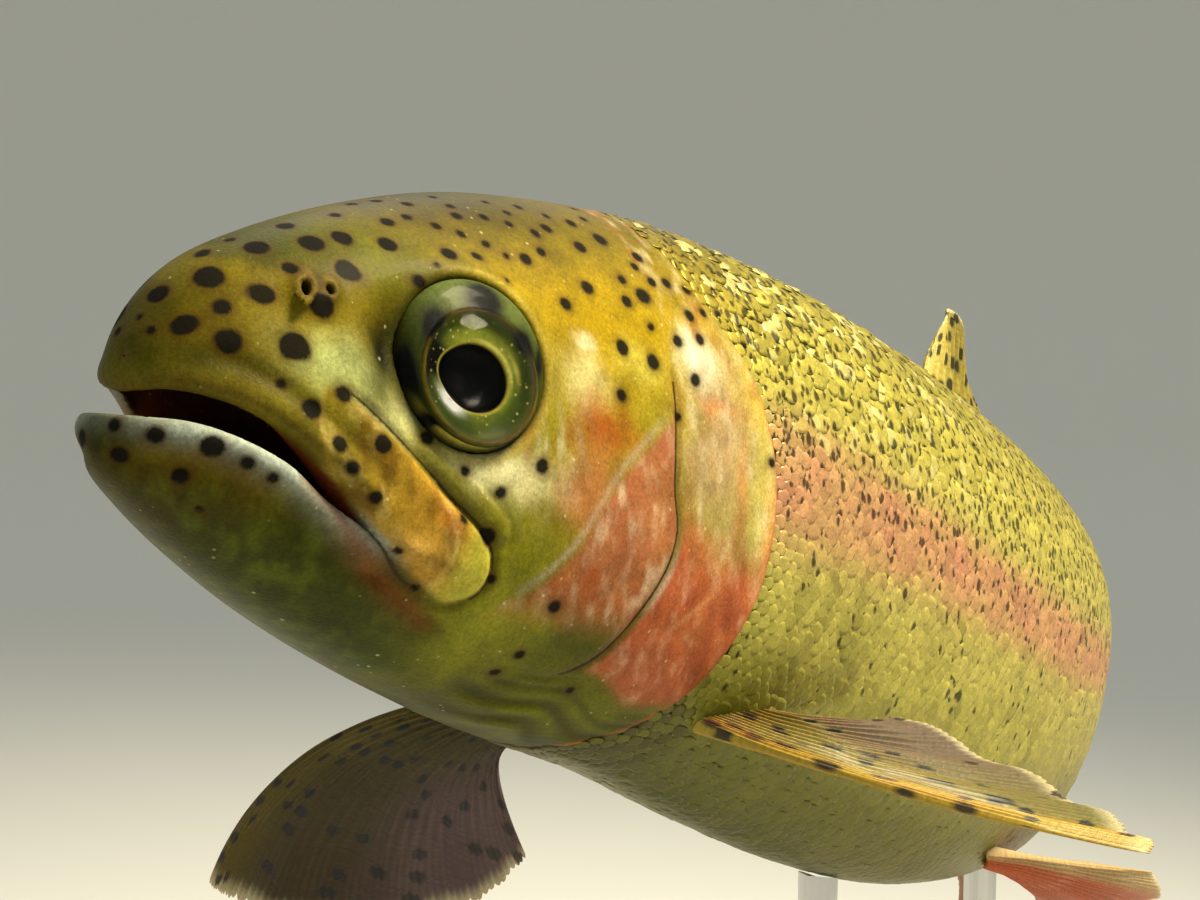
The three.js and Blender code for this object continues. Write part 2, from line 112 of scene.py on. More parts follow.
def smooth_through(xs, ys):
    """A smooth function through the points (xs, ys), with slopes from the neighbours."""
    xs, ys = np.array(xs, float), np.array(ys, float)
    ahead, behind = np.minimum(np.arange(len(xs)) + 1, len(xs) - 1), np.maximum(np.arange(len(xs)) - 1, 0)
    slopes = (ys[ahead] - ys[behind]) / (xs[ahead] - xs[behind])

    def curve(x):
        i = np.clip(np.searchsorted(xs, x, side="right") - 1, 0, len(xs) - 2)
        h = xs[i + 1] - xs[i]
        t = np.clip((x - xs[i]) / h, 0, 1)
        start, end = (2 * t - 3) * t * t + 1, (3 - 2 * t) * t * t
        return start * ys[i] + end * ys[i + 1] + h * t * (1 - t) * ((1 - t) * slopes[i] - t * slopes[i + 1])

    return curve


class Outline:
    """Back, belly, half width and widest height of the body at any u."""

    def __init__(self, nose):
        rows = np.array([*nose, *BODY_OUTLINE], float)
        self.start = rows[0, 0]
        reach = np.sqrt(rows[:, 0] - self.start)
        self.columns = [smooth_through(reach, rows[:, k]) for k in range(1, 5)]

    def at(self, u):
        reach = np.sqrt(np.maximum(np.asarray(u, float) - self.start, 0))
        return [column(reach) for column in self.columns]


upper_outline, lower_outline = Outline(UPPER_NOSE), Outline(LOWER_NOSE)
print("deepest section, mm:", round(float(np.ptp(np.array(lower_outline.at(150))[:2])), 1))

# %% [markdown]
# ## From the straight fish to the row frame
# The tail turns to the fish's right along a smooth heading, and the whole fish is tipped head up about a
# point of its axis. Every mesh below goes through `placed` once, so its object stays at the origin.

# %% Bend and place
TURN_START, TURN_END, TAIL_TURN = 150, 400, math.radians(58)
HEAD_UP = math.radians(16.3)
PIVOT_U, AXIS_HEIGHT = 165, 150
AXIS_LENGTH = 460


def ramp(low, high, x):
    """0 below low, 1 above high, and smooth between them."""
    t = np.clip((x - low) / (high - low), 0, 1)
    return t * t * (3 - 2 * t)


def heading(u):
    return TAIL_TURN * ramp(TURN_START, TURN_END, u)


axis_u = np.arange(0, AXIS_LENGTH + 1.0)
axis_heading = heading(axis_u[:-1] + 0.5)
axis_x = np.concatenate([[0], np.cumsum(np.cos(axis_heading))])
axis_y = np.concatenate([[0], np.cumsum(np.sin(axis_heading))])


def placed(points):
    """Takes points (u, v, w) of the straight fish, in mm, to the row frame, in metres."""
    u, v, w = np.asarray(points, float).T
    turn = heading(u)
    x = np.where(u <= 0, u, np.interp(u, axis_u, axis_x)) + v * np.sin(turn)
    y = np.where(u <= 0, 0, np.interp(u, axis_u, axis_y)) - v * np.cos(turn)
    c, s = math.cos(HEAD_UP), math.sin(HEAD_UP)
    return MM * np.stack([c * x + s * w - PIVOT_U * c, y, c * w - s * x + PIVOT_U * s + AXIS_HEIGHT], -1)


def unplaced(point):
    """The inverse of `placed` for one point of the head, where the fish is straight."""
    c, s = math.cos(HEAD_UP), math.sin(HEAD_UP)
    x, y, z = np.array(point) / MM - (-PIVOT_U * c, 0, PIVOT_U * s + AXIS_HEIGHT)
    return np.array([c * x - s * z, -y, s * x + c * z])


print("snout tip in the row frame, m:", placed([(1.3, 0, -0.8)])[0].round(3))

# %% [markdown]
# ## Side-view lines of the head
# The plates of a trout's head are bones under thin skin: the maxilla frames the corner of the mouth, the
# preopercle and opercle cover the gills, and thin rays hold the fold below them. Each is a line drawn from
# the side, and the signed distance to such a line tells how far a point is from a crease or an edge.

# %% Lines and distances
UPPER_LIP = ([-6, 0.8, 3.6, 8.5, 13.5, 19.6, 24], [-4.6, -4.5, -3.2, -3.4, -5.3, -8.7, -12])
LOWER_LIP = ([-6, 1.5, 4.8, 9.2, 14.3, 18.6, 24], [-6.6, -6.1, -5.8, -6.4, -7.9, -10, -12])
MOUTH_CORNER = 24
MAXILLA = [
    (15.2, 0), (18, -0.4), (21.7, -2.2), (25, -4), (30.2, -7), (36, -9.8), (38.4, -12.6), (38.4, -15.4),
    (35.6, -17.1), (32.3, -16.2), (28, -14.4), (24.6, -12.4), (20, -9.2), (16.6, -7), (14.6, -3.6),
]
SUPRAMAXILLA = [(25, -2.4), (29.5, -3.6), (34.5, -5.6), (38.8, -8.4), (38.6, -10.6), (34, -8.4), (29, -5.8)]
OPERCLE_SLIT = [(61.2, 13), (61.9, 9.5), (62.4, 4), (63, 0), (64.5, -4.1), (64.3, -8), (62.7, -12.4),
                (59.4, -19), (54.5, -22.8)]
PREOPERCLE = [(61.5, 10.5), (59.8, 7.6), (56.6, 4.2), (53.2, 0.3), (50.8, -3.8), (48.6, -8), (46, -11.6),
              (43.4, -14.4)]
GILL_EDGE = [(62, 40), (64.5, 31), (70, 22.8), (76, 18.5), (81, 12), (83.6, 5), (84.2, -2), (83.4, -10),
             (80, -19), (74, -26.5), (67, -31), (58, -36)]
COVER_FOOT = [(44, -21), (52, -22.4), (59.3, -22.2), (68, -25), (76, -24), (82, -20)]

lip_above, lip_below = smooth_through(*UPPER_LIP), smooth_through(*LOWER_LIP)


def rounded(points, closed=False, steps=6):
    """A smooth line through a few points, as many short steps."""
    points = np.array(points, float)
    n = len(points)
    line = []
    for i in range(n if closed else n - 1):
        pick = [(i + k) % n if closed else min(max(i + k, 0), n - 1) for k in (-1, 0, 1, 2)]
        a, b, c, d = points[pick]
        for t in np.arange(steps) / steps:
            line.append(0.5 * (2 * b + (c - a) * t + (2 * a - 5 * b + 4 * c - d) * t**2
                               + (3 * b - a - 3 * c + d) * t**3))
    return np.array(line if closed else [*line, points[-1]])


def distance_to(line, u, w, closed=False):
    """Distance from (u, w) to a line; inside a closed one, or to the right of an open one, it is positive."""
    ends = np.roll(line, -1, 0) if closed else line[1:]
    starts = line if closed else line[:-1]
    nearest = np.full(np.shape(u), 1e9)
    side = np.zeros(np.shape(u))
    inside = np.zeros(np.shape(u), bool)
    for a, b in zip(starts, ends):
        du, dw = b - a
        t = np.clip(((u - a[0]) * du + (w - a[1]) * dw) / (du * du + dw * dw), 0, 1)
        off = np.hypot(u - a[0] - t * du, w - a[1] - t * dw)
        closer = off < nearest
        nearest = np.where(closer, off, nearest)
        side = np.where(closer, (u - a[0]) * dw - (w - a[1]) * du, side)
        if closed and dw != 0:
            inside ^= ((a[1] > w) != (b[1] > w)) & (u < du * (w - a[1]) / dw + a[0])
    return nearest * (np.where(inside, 1, -1) if closed else np.where(side > 0, 1, -1))


def near(x, at, width):
    """A soft bump of height 1 at `at`."""
    return np.exp(-(((x - at) / width) ** 2))


def unit(vectors):
    """The vectors at length 1."""
    return vectors / np.maximum(np.linalg.norm(vectors, axis=-1, keepdims=True), 1e-9)


maxilla_line, supra_line = rounded(MAXILLA, True), rounded(SUPRAMAXILLA, True)
slit_line, preopercle_line = rounded(OPERCLE_SLIT), rounded(PREOPERCLE)
gill_line, foot_line = rounded(GILL_EDGE), rounded(COVER_FOOT)
print("maxilla length, mm:", round(float(np.ptp(maxilla_line[:, 0])), 1))

# %% [markdown]
# ## The skin as a field
# A trout's skin runs from the lips to the tail without a seam, and folds round the eye, the nostrils and
# the gill cover. Box modelling or sculpting could make it, but here it is a field: a number at each point of
# a grid that is negative inside the fish. Parts are joined by taking the lower number and cut by taking the
# higher, and soft versions of both leave rounded edges. The grid is fine over the face and coarse behind.

# %% The grid and the plain body
COAT_DEPTH = 0.5  # mm that the skin lies inside the solids where scales cover it


def spaced(*stretches):
    """Grid places over stretches (start, end, step) that follow each other."""
    parts = [np.linspace(a, b, round((b - a) / step), endpoint=False) for a, b, step in stretches]
    return np.concatenate([*parts, [stretches[-1][1]]])


grid_u = spaced((-1.6, 26, 0.36), (26, 66, 0.42), (66, 90, 0.55), (90, 353.2, 2.4))
grid_v = spaced((0, 4, 0.7), (4, 24, 0.42), (24, 27, 0.75))
grid_w = spaced((-48, -36, 0.8), (-36, -20, 0.5), (-20, 17, 0.4), (17, 38.5, 0.55))
side_u, side_w = np.meshgrid(grid_u, grid_w, indexing="ij")
U, V, W = np.meshgrid(grid_u, grid_v, grid_w, indexing="ij", sparse=True)


def body_field(outline, u, v, w, inset=0.0):
    """Roughly the distance in mm from the outline's surface, negative inside."""
    back, belly, half, widest = outline.at(u)
    above = w > widest
    reach = np.maximum(np.where(above, back - widest, widest - belly) - inset, 0.05)
    power = np.where(above, BACK_POWER, BELLY_POWER)
    across = (np.abs(v) / np.maximum(half - inset, 0.05)) ** power
    size = (across + (np.abs(w - widest) / reach) ** power) ** (1 / power)
    radial = np.hypot(v, w - widest)
    front = np.maximum(outline.start - u, 0)
    return np.where(front > 0, np.hypot(front, radial), radial * (1 - 1 / np.maximum(size, 1e-3)))


def soft_max(a, b, width):
    """The higher of a and b, with the crease between them rounded."""
    h = np.clip(width - np.abs(a - b), 0, None)
    return np.maximum(a, b) + h * h / (4 * width)


def soft_min(a, b, width):
    return -soft_max(-a, -b, width)


lip_gap = (lip_above(grid_u) + lip_below(grid_u)) / 2
behind_corner = grid_u > MOUTH_CORNER
lip_gap[behind_corner] = np.interp(grid_u[behind_corner], *zip((24, -12), (38, -18.6), (60, -30)))
inset = COAT_DEPTH * ramp(60, 84, grid_u)[:, None, None]
skin_field = body_field(upper_outline, U, V, W, inset)
fore = grid_u < 40
lower_half = body_field(lower_outline, U[fore], V, W, 0)
share = ramp(-0.7, 0.7, W - lip_gap[fore, None, None])
skin_field[fore] = share * skin_field[fore] + (1 - share) * lower_half
print("grid points:", skin_field.size)

# %% [markdown]
# ## Relief of the head
# Seen from the side the head's plates are low steps and creases, a few tenths of a millimetre high. They are
# added as a height that is drawn in side view and pushed outwards. The lips are rounded bands beside the
# mouth, the maxilla is a raised plate, and the gill cover ends in a step over the body.

# %% Relief
eye_centre = np.array([31.7, 14.6, 6.3])
EYE_RADIUS = 8.8
EYE_AHEAD, EYE_UP = math.radians(18), math.radians(9)
RAY_PITCH = 2.1  # mm between the rays of the fold under the gill cover
eye_axis = np.array([-math.sin(EYE_AHEAD) * math.cos(EYE_UP), math.cos(EYE_AHEAD) * math.cos(EYE_UP),
                     math.sin(EYE_UP)])


def lines_at(u, w):
    """The signed distances in side view that relief and colours share."""
    return {
        "maxilla": distance_to(maxilla_line, u, w, True),
        "supra": distance_to(supra_line, u, w, True),
        "slit": distance_to(slit_line, u, w),
        "preopercle": distance_to(preopercle_line, u, w),
        "gill": distance_to(gill_line, u, w),
        "foot": distance_to(foot_line, u, w),
    }


def on_fold(foot):
    """Where the rays of the fold under the gill cover show, by the distance below the cover's foot."""
    return ramp(0.6, 1.6, foot) * (1 - ramp(7, 9.5, foot))


def head_relief(u, w, lines):
    """Height of the skin over the plain body, in mm, seen from the side."""
    maxilla, slit, gill, foot = lines["maxilla"], lines["slit"], lines["gill"], lines["foot"]
    over, under = w - lip_above(u), lip_below(u) - w
    # Lips: a rounded band with a groove beyond it.
    mouth = ramp(0, 3, u) * (1 - ramp(20, 25, u))
    height = 0.5 * near(over, 1.2, 1.3) * mouth - 0.3 * near(over, 3.6, 0.8) * ramp(3, 7, u) * mouth
    jaw_lip = ramp(0, 2, u) * (1 - ramp(28, 38, u))
    height += (0.55 * near(under, 1.3, 1.3) - 0.35 * near(under, 3.7, 0.9)) * jaw_lip
    # Maxilla: a plate that is free at its rear end, and a thin bone over it.
    free_end = ramp(15, 21, u)
    height += free_end * (0.7 * ramp(0, 1.3, maxilla) - 0.35 * near(maxilla, -0.25, 0.45))
    below_maxilla = ramp(0, 2.5, -9.0 - 0.55 * (u - 20) - w) * (u > 12)
    height -= 0.7 * near(maxilla, -1.2, 1.2) * below_maxilla
    height += 0.35 * ramp(0, 0.8, lines["supra"]) - 0.2 * near(lines["supra"], -0.2, 0.35)
    # Gill cover: the slit between its plates, a low ridge ahead of it, and its edge over the body.
    on_slit = ramp(-24, -17, w) * (1 - ramp(11, 15, w))
    height += on_slit * (0.1 * near(slit, 1.4, 1.0) - 0.4 * near(slit, -0.1, 0.5) - 0.2 * ramp(0, 2.5, -slit))
    on_ridge = ramp(-16, -10, w) * (1 - ramp(4, 10, w))
    height += on_ridge * 0.1 * near(lines["preopercle"], 0, 1.1)
    on_gill = 1 - ramp(16, 30, w)
    edge_step = 0.45 * ramp(-0.4, 0.5, gill) * (1 - ramp(6, 16, gill))
    height += on_gill * (edge_step - 0.22 * near(gill, -0.5, 0.5))
    # The fold under the gill cover, with its rays.
    on_foot = ramp(42, 50, u) * (gill > 0)
    height += on_foot * (-0.4 * near(foot, 0, 0.4) - 0.35 * ramp(0, 2, foot) * (1 - ramp(4, 10, foot)))
    return height + on_fold(foot) * on_foot * 0.22 * np.cos(2 * np.pi * foot / RAY_PITCH)


side_relief = head_relief(side_u, side_w, lines_at(side_u, side_w))
facing = ramp(2, 8, V) + (1 - ramp(2, 8, V)) * (1 - ramp(2, 9, U)) * (W < 0)
skin_field -= side_relief[:, None, :] * facing
print("relief, mm, from", side_relief.min().round(2), "to", side_relief.max().round(2))

# %% [markdown]
# ## Mouth, eye sockets and nostrils
# The mouth is a slit between the lips that opens into a room behind them. Each eye sits in a round pit
# whose rim lies flat against the eyeball, with a shallow hollow ahead of it. A trout has two nostrils a
# side: a slit in a raised rim in front, and a round hole just behind it. All are cut from the field or
# joined to it.

# %% Openings
LIP_THICK = 2.2
ROOM_END, ROOM_HALF_WIDTH, ROOM_RISE, ROOM_FALL = 30, 9, 4.5, 3.5
SOCKET_DEPTH = 3.5
HOLLOW_AHEAD = (-10.6, -2.6, 0.2)  # from the eye's centre
above_lip, below_lip = W - lip_above(grid_u)[:, None, None], lip_below(grid_u)[:, None, None] - W
slit = np.maximum(np.maximum(above_lip, below_lip), U - MOUTH_CORNER)
vault = 1 - (V / ROOM_HALF_WIDTH) ** 2
room = np.maximum(skin_field + LIP_THICK, U - ROOM_END)
room = np.maximum(room, np.maximum(above_lip - ROOM_RISE * vault, below_lip - ROOM_FALL * vault))
outer_field = skin_field.copy()
skin_field = soft_max(skin_field, -soft_min(slit, room, 0.8), 0.7)

face = slice(0, int(np.searchsorted(grid_u, 52)))
P = np.stack(np.broadcast_arrays(U[face], V, W), -1)
height = (P - eye_centre) @ eye_axis
eye_reach = np.sqrt(np.maximum(((P - eye_centre) ** 2).sum(-1) - height**2, 0))
rim = 0.85 * (1 - ramp(EYE_RADIUS + 0.4, EYE_RADIUS + 4.5, eye_reach))
rim = rim * ramp(-8, -4, height) * (1 - ramp(5, 8, height))
local = skin_field[face] * (1 - rim) + (height - 0.15) * rim
local -= 0.12 * near(eye_reach, EYE_RADIUS + 0.7, 0.7) * (np.abs(height) < 5)
local += near(np.linalg.norm(P - (eye_centre + HOLLOW_AHEAD), axis=-1), 0, 3.2)
pit = np.maximum(eye_reach - EYE_RADIUS, -SOCKET_DEPTH - height)
skin_field[face] = soft_max(local, -pit, 0.35)

NOSTRILS = {"front": (13.0, 9.0, 8.5), "rear": (15.5, 9.6, 9.1)}
NOSTRIL_RIMS = {  # half width, half height, thickness and lift of the rim
    "front": (0.72, 1.95, 0.3, 0.55), "rear": (0.72, 1.3, 0.25, 0.15),
}
HOLE_DEPTH = 2.6
nostril_out = unit(np.array([-0.42, 0.62, 0.66]))
nostril_up = unit(np.array([0.0, 0, 1]) - nostril_out * nostril_out[2])
nostril_side = np.cross(nostril_out, nostril_up)


def surface_point(u, v, w, outward):
    """Slides a guess along `outward` to the plain skin."""
    point = np.array([u, v, w])
    for _ in range(20):
        point = point - outward * body_field(upper_outline, *point)
    return point


nostril_at = {name: surface_point(*place, nostril_out) for name, place in NOSTRILS.items()}
nostril_middle = (nostril_at["front"] + nostril_at["rear"]) / 2
nose = slice(int(np.searchsorted(grid_u, 6)), int(np.searchsorted(grid_u, 22)))
P = np.stack(np.broadcast_arrays(U[nose], V, W), -1)


def round_rim(name, points):
    """Distance from the middle of a nostril's rim, and the height and distance that drill its hole."""
    wide, tall, thick, lift = NOSTRIL_RIMS[name]
    off = points - nostril_at[name]
    along = off @ nostril_out - lift
    across = (np.hypot(off @ nostril_side / wide, off @ nostril_up / tall) - 1) * wide
    return np.hypot(along, across) - thick, along, across + 0.32


local = skin_field[nose]
mound = np.linalg.norm((P - nostril_middle + 2.0 * nostril_out) / (1.3, 1, 1), axis=-1) - 2.6
local = soft_min(local, mound, 1.2)
for name in NOSTRILS:
    rim, along, across = round_rim(name, P)
    local = soft_min(local, rim, 0.4)
    local = soft_max(local, -np.maximum(across, -HOLE_DEPTH - along), 0.25)
skin_field[nose] = local
print("nostrils at", {name: place.round(1).tolist() for name, place in nostril_at.items()})

# %% [markdown]
# ## From field to mesh
# A surface net turns the field into one closed mesh: each grid cell that the surface crosses gets one point,
# at the middle of the crossings on its edges, and each grid edge that it crosses joins four of those points
# as a face. Two steps along the slope of the field then lay every point on the surface itself.

# %% Surface net


def surface_net(field, axes):
    """Points and quads where the field changes sign."""
    inside = field < 0
    nx, ny, nz = field.shape
    corners = [(i, j, k) for i in (0, 1) for j in (0, 1) for k in (0, 1)]
    count = sum(inside[i:nx - 1 + i, j:ny - 1 + j, k:nz - 1 + k].astype(np.int8) for i, j, k in corners)
    cells = np.argwhere((count > 0) & (count < 8))
    number = np.full(count.shape, -1)
    number[tuple(cells.T)] = np.arange(len(cells))
    total, hits = np.zeros((len(cells), 3)), np.zeros(len(cells))
    for a in corners:
        for axis in range(3):
            if a[axis]:
                continue
            b = [*a]
            b[axis] = 1
            start, end = cells + a, cells + b
            f0, f1 = field[tuple(start.T)], field[tuple(end.T)]
            crosses = (f0 < 0) != (f1 < 0)
            t = np.where(crosses, f0 / np.where(crosses, f0 - f1, 1), 0)[:, None]
            p0 = np.stack([axes[k][start[:, k]] for k in range(3)], 1)
            p1 = np.stack([axes[k][end[:, k]] for k in range(3)], 1)
            total += np.where(crosses[:, None], p0 + t * (p1 - p0), 0)
            hits += crosses
    quads = []
    for axis in range(3):
        b, c = (axis + 1) % 3, (axis + 2) % 3
        low, high = [slice(None)] * 3, [slice(None)] * 3
        low[axis], high[axis] = slice(0, -1), slice(1, None)
        edges = np.argwhere(inside[tuple(low)] != inside[tuple(high)])
        edges = edges[(edges[:, b] > 0) & (edges[:, c] > 0)]
        edges = edges[(edges[:, b] < field.shape[b] - 1) & (edges[:, c] < field.shape[c] - 1)]
        step_b, step_c = np.eye(3, dtype=int)[b], np.eye(3, dtype=int)[c]
        loop = np.stack([number[tuple((edges - shift).T)]
                         for shift in (step_b + step_c, step_c, 0 * step_b, step_b)], 1)
        turned = ~inside[tuple(edges.T)]
        loop[turned] = loop[turned][:, ::-1]
        quads.append(loop)
    return total / hits[:, None], np.concatenate(quads)


def sampled(field, axes, points):
    """The field at any points, linear between grid places."""
    spot, part = [], []
    for k in range(3):
        i = np.clip(np.searchsorted(axes[k], points[:, k], side="right") - 1, 0, len(axes[k]) - 2)
        spot.append(i)
        part.append(np.clip((points[:, k] - axes[k][i]) / (axes[k][i + 1] - axes[k][i]), 0, 1))
    value = 0
    for i in (0, 1):
        for j in (0, 1):
            for k in (0, 1):
                weight = [part[n] if on else 1 - part[n] for n, on in enumerate((i, j, k))]
                value += weight[0] * weight[1] * weight[2] * field[spot[0] + i, spot[1] + j, spot[2] + k]
    return value


def slope(field, axes, points, reach=0.3):
    """The field's gradient at the points."""
    ahead = [sampled(field, axes, points + step) for step in np.eye(3) * reach]
    behind = [sampled(field, axes, points - step) for step in np.eye(3) * reach]
    return (np.stack(ahead, 1) - np.stack(behind, 1)) / (2 * reach)


whole_field = np.concatenate([skin_field[:, :0:-1], skin_field], 1)
whole_outer = np.concatenate([outer_field[:, :0:-1], outer_field], 1)
axes = (grid_u, np.concatenate([-grid_v[:0:-1], grid_v]), grid_w)
whole_field[[0, -1]] = np.maximum(whole_field[[0, -1]], 0.5)
skin_points, skin_quads = surface_net(whole_field, axes)
for _ in range(2):
    rise = slope(whole_field, axes, skin_points)
    steepness = np.maximum((rise**2).sum(1), 0.3)
    move = (sampled(whole_field, axes, skin_points) / steepness)[:, None] * rise
    skin_points -= np.clip(move, -0.3, 0.3)
print("surface net:", len(skin_points), "points")

# %% [markdown]
# ### Fewer faces where none show
# The net is as fine under the scales and inside the mouth as its grid, which is more than those places need.
# A Decimate modifier merges points there: a vertex group tells it where it may, and it leaves the face alone.

# %% Thin the hidden parts
SKIN_SHARE = 0.56  # of the net's faces that stay
thinning = bpy.data.meshes.new("thinning")
thinning.from_pydata(skin_points.tolist(), [], skin_quads.tolist())
thin_piece = bpy.data.objects.new("thinning", thinning)
link(thin_piece)
hidden = np.maximum(ramp(86, 96, skin_points[:, 0]), ramp(3, 5, -sampled(whole_outer, axes, skin_points)))
group = thin_piece.vertex_groups.new(name="hidden")
for level in range(1, 11):
    members = np.nonzero(np.round(hidden * 10) == level)[0]
    group.add(members.tolist(), level / 10, "REPLACE")
thinner = thin_piece.modifiers.new("thin", "DECIMATE")
thinner.ratio = SKIN_SHARE
thinner.vertex_group = "hidden"
thinner.vertex_group_factor = 10
thinned = bpy.data.meshes.new_from_object(thin_piece.evaluated_get(bpy.context.evaluated_depsgraph_get()))
bpy.data.objects.remove(thin_piece)
skin_points = np.array([vertex.co[:] for vertex in thinned.vertices])
skin_faces = [tuple(face.vertices) for face in thinned.polygons]
mouth_depth = -sampled(whole_outer, axes, skin_points)
print("skin faces:", len(skin_faces))

# %% [markdown]
# ## Colours of the skin
# A rainbow trout is olive gold above, pale below, with a pink band along the side that begins on the cheek
# and the gill cover. A painter of fish models lays these on with an airbrush, as soft washes one over the
# other. Here each wash is a colour with a place in side view, and every point of skin and scale takes its
# colour from the same function, so that the coat and the skin under it agree.
# The underside is painted dark, as painted shade under the head and body; some washes are painted highlights,
# and some are painted shade in creases and hollows.

# %% Washes of colour


def linear(code):
    """An sRGB hex colour as linear values."""
    values = np.array([int(code[i:i + 2], 16) for i in (1, 3, 5)]) / 255
    return np.where(values <= 0.04045, values / 12.92, ((values + 0.055) / 1.055) ** 2.4)


# Both ramps run dark at the bottom, where a trout is pale: painted shade under the head and body.
GROUND = [  # share of the height, colour
    (0, "#2e3404"), (0.16, "#42460a"), (0.4, "#78741c"), (0.6, "#8e8220"), (0.8, "#957f12"), (1, "#544a0c"),
]
FLANK = [
    (0, "#3e4406"), (0.12, "#585c12"), (0.34, "#b0a850"), (0.55, "#c2b664"), (0.75, "#b8ae50"),
    (1, "#857c2c"),
]
BAND_U, BAND_MIDDLE = [60, 85, 122, 150, 185, 250, 352], [2, 6, 3.6, 0.2, -3.2, -2, 0]
BAND_HALF = [9, 8, 6.2, 5.6, 5.6, 4, 3.2]
WASHES = [  # colour, u, w, reach along u, reach along w, strength
    ("#363404", 3, 3, 7, 8, 0.9),  # snout tip, olive brown, darkened as painted shade on its front
    ("#30380a", 11, 13, 10, 5, 0.88),  # top of the snout
    ("#685608", 9.5, 2.5, 5.5, 3.6, 0.6),  # side of the snout
    ("#505406", 24, 14, 9, 4.5, 0.85),  # brow
    ("#a28606", 51, 15, 13, 7, 0.9),  # bright yellow behind the eye and over the nape
    ("#3a3604", 32, 26, 18, 7, 0.88),  # crown
    ("#b4bf78", 17, 2.4, 5.5, 2.8, 0.85),  # silvery green below the nostrils, painted pale as a highlight
    ("#d9da96", 22.5, -1.2, 4.5, 2.0, 0.75),  # and on under the eye, with the same painted highlight
    ("#080a02", 22.0, 5.2, 4.3, 5.8, 1.0),  # painted shade in the hollow ahead of the eye
    ("#e2dca6", 37, -3.6, 8, 2.6, 0.9),  # silver streak under the eye, painted pale as a highlight
    ("#efeac0", 46.2, 12.8, 1.8, 1.3, 0.6),  # pale glint behind the eye
    ("#6e6c0c", 42, -9.4, 6, 6, 0.8),  # olive cheek
    ("#8a8a1e", 41, -18, 9, 6, 0.8),  # paler below it
    ("#cdc78e", 46.5, 8.6, 3.8, 3.2, 0.6),  # silver behind the eye
    ("#c2be58", 56, 12.4, 4, 2.4, 0.45),
    ("#98440f", 50, 4.2, 5, 3.4, 0.85),  # orange red patch on the cheek
    ("#a4643a", 49.4, -2.8, 5.4, 5.6, 0.82),  # rusty pink below it
    ("#ac9066", 71, 7, 6.5, 10, 0.92),  # silvery pink gill cover
    ("#f4f0cc", 66.5, 15.5, 3.6, 3.2, 0.9),  # its upper end painted near white: a painted highlight on the silver
    ("#b8743c", 71, 11, 4, 1.1, 0.6),  # reddish veins on it
    ("#b8703c", 76, 3.5, 1.2, 5, 0.5),
    ("#c77c3a", 82.4, -6, 2.0, 9, 0.7),  # orange rim
    ("#cfae44", 79, 15, 3.5, 4.5, 0.75),  # golden rim above
    ("#b5562c", 74, -20, 7, 3, 0.8),  # orange red edge of the flap
    ("#62640e", 60, -25, 14, 5, 0.85),  # olive yellow fold below the gill cover
]


def gradient(stops, t):
    places = [place for place, _ in stops]
    colours = np.array([linear(code) for _, code in stops])
    return np.stack([np.interp(t, places, colours[:, k]) for k in range(3)], -1)


def wash(colour, code, amount):
    return colour + (linear(code) - colour) * np.clip(amount, 0, 1)[..., None]


MOTTLE_TABLE = np.random.default_rng(21).uniform(0, 1, (32, 32, 32))


def mottle(u, v, w, size, shift=0):
    """Smooth random values from 0 to 1 whose patches are about `size` mm across."""
    places = [np.asarray(c, float) / size + shift for c in (u, v, w)]
    low = [np.floor(p).astype(int) for p in places]
    part = [ramp(0, 1, p - i) for p, i in zip(places, low)]
    value = 0
    for corner in np.ndindex(2, 2, 2):
        weight = [t if on else 1 - t for t, on in zip(part, corner)]
        cell = tuple((i + on) % 32 for i, on in zip(low, corner))
        value += weight[0] * weight[1] * weight[2] * MOTTLE_TABLE[cell]
    return value


def strokes(u, v, w, size, shift):
    """Mottling drawn out into strokes that lean back, of two sizes together."""
    lean, rise = u + 0.35 * w + 0.2 * v, 0.45 * w - 0.15 * u
    coarse, fine = mottle(lean, v, rise, size, shift), mottle(rise, lean, v, 0.45 * size, shift + 5)
    return 0.62 * coarse + 0.38 * fine


def lip_gap_at(u):
    return np.interp(u, grid_u, lip_gap)


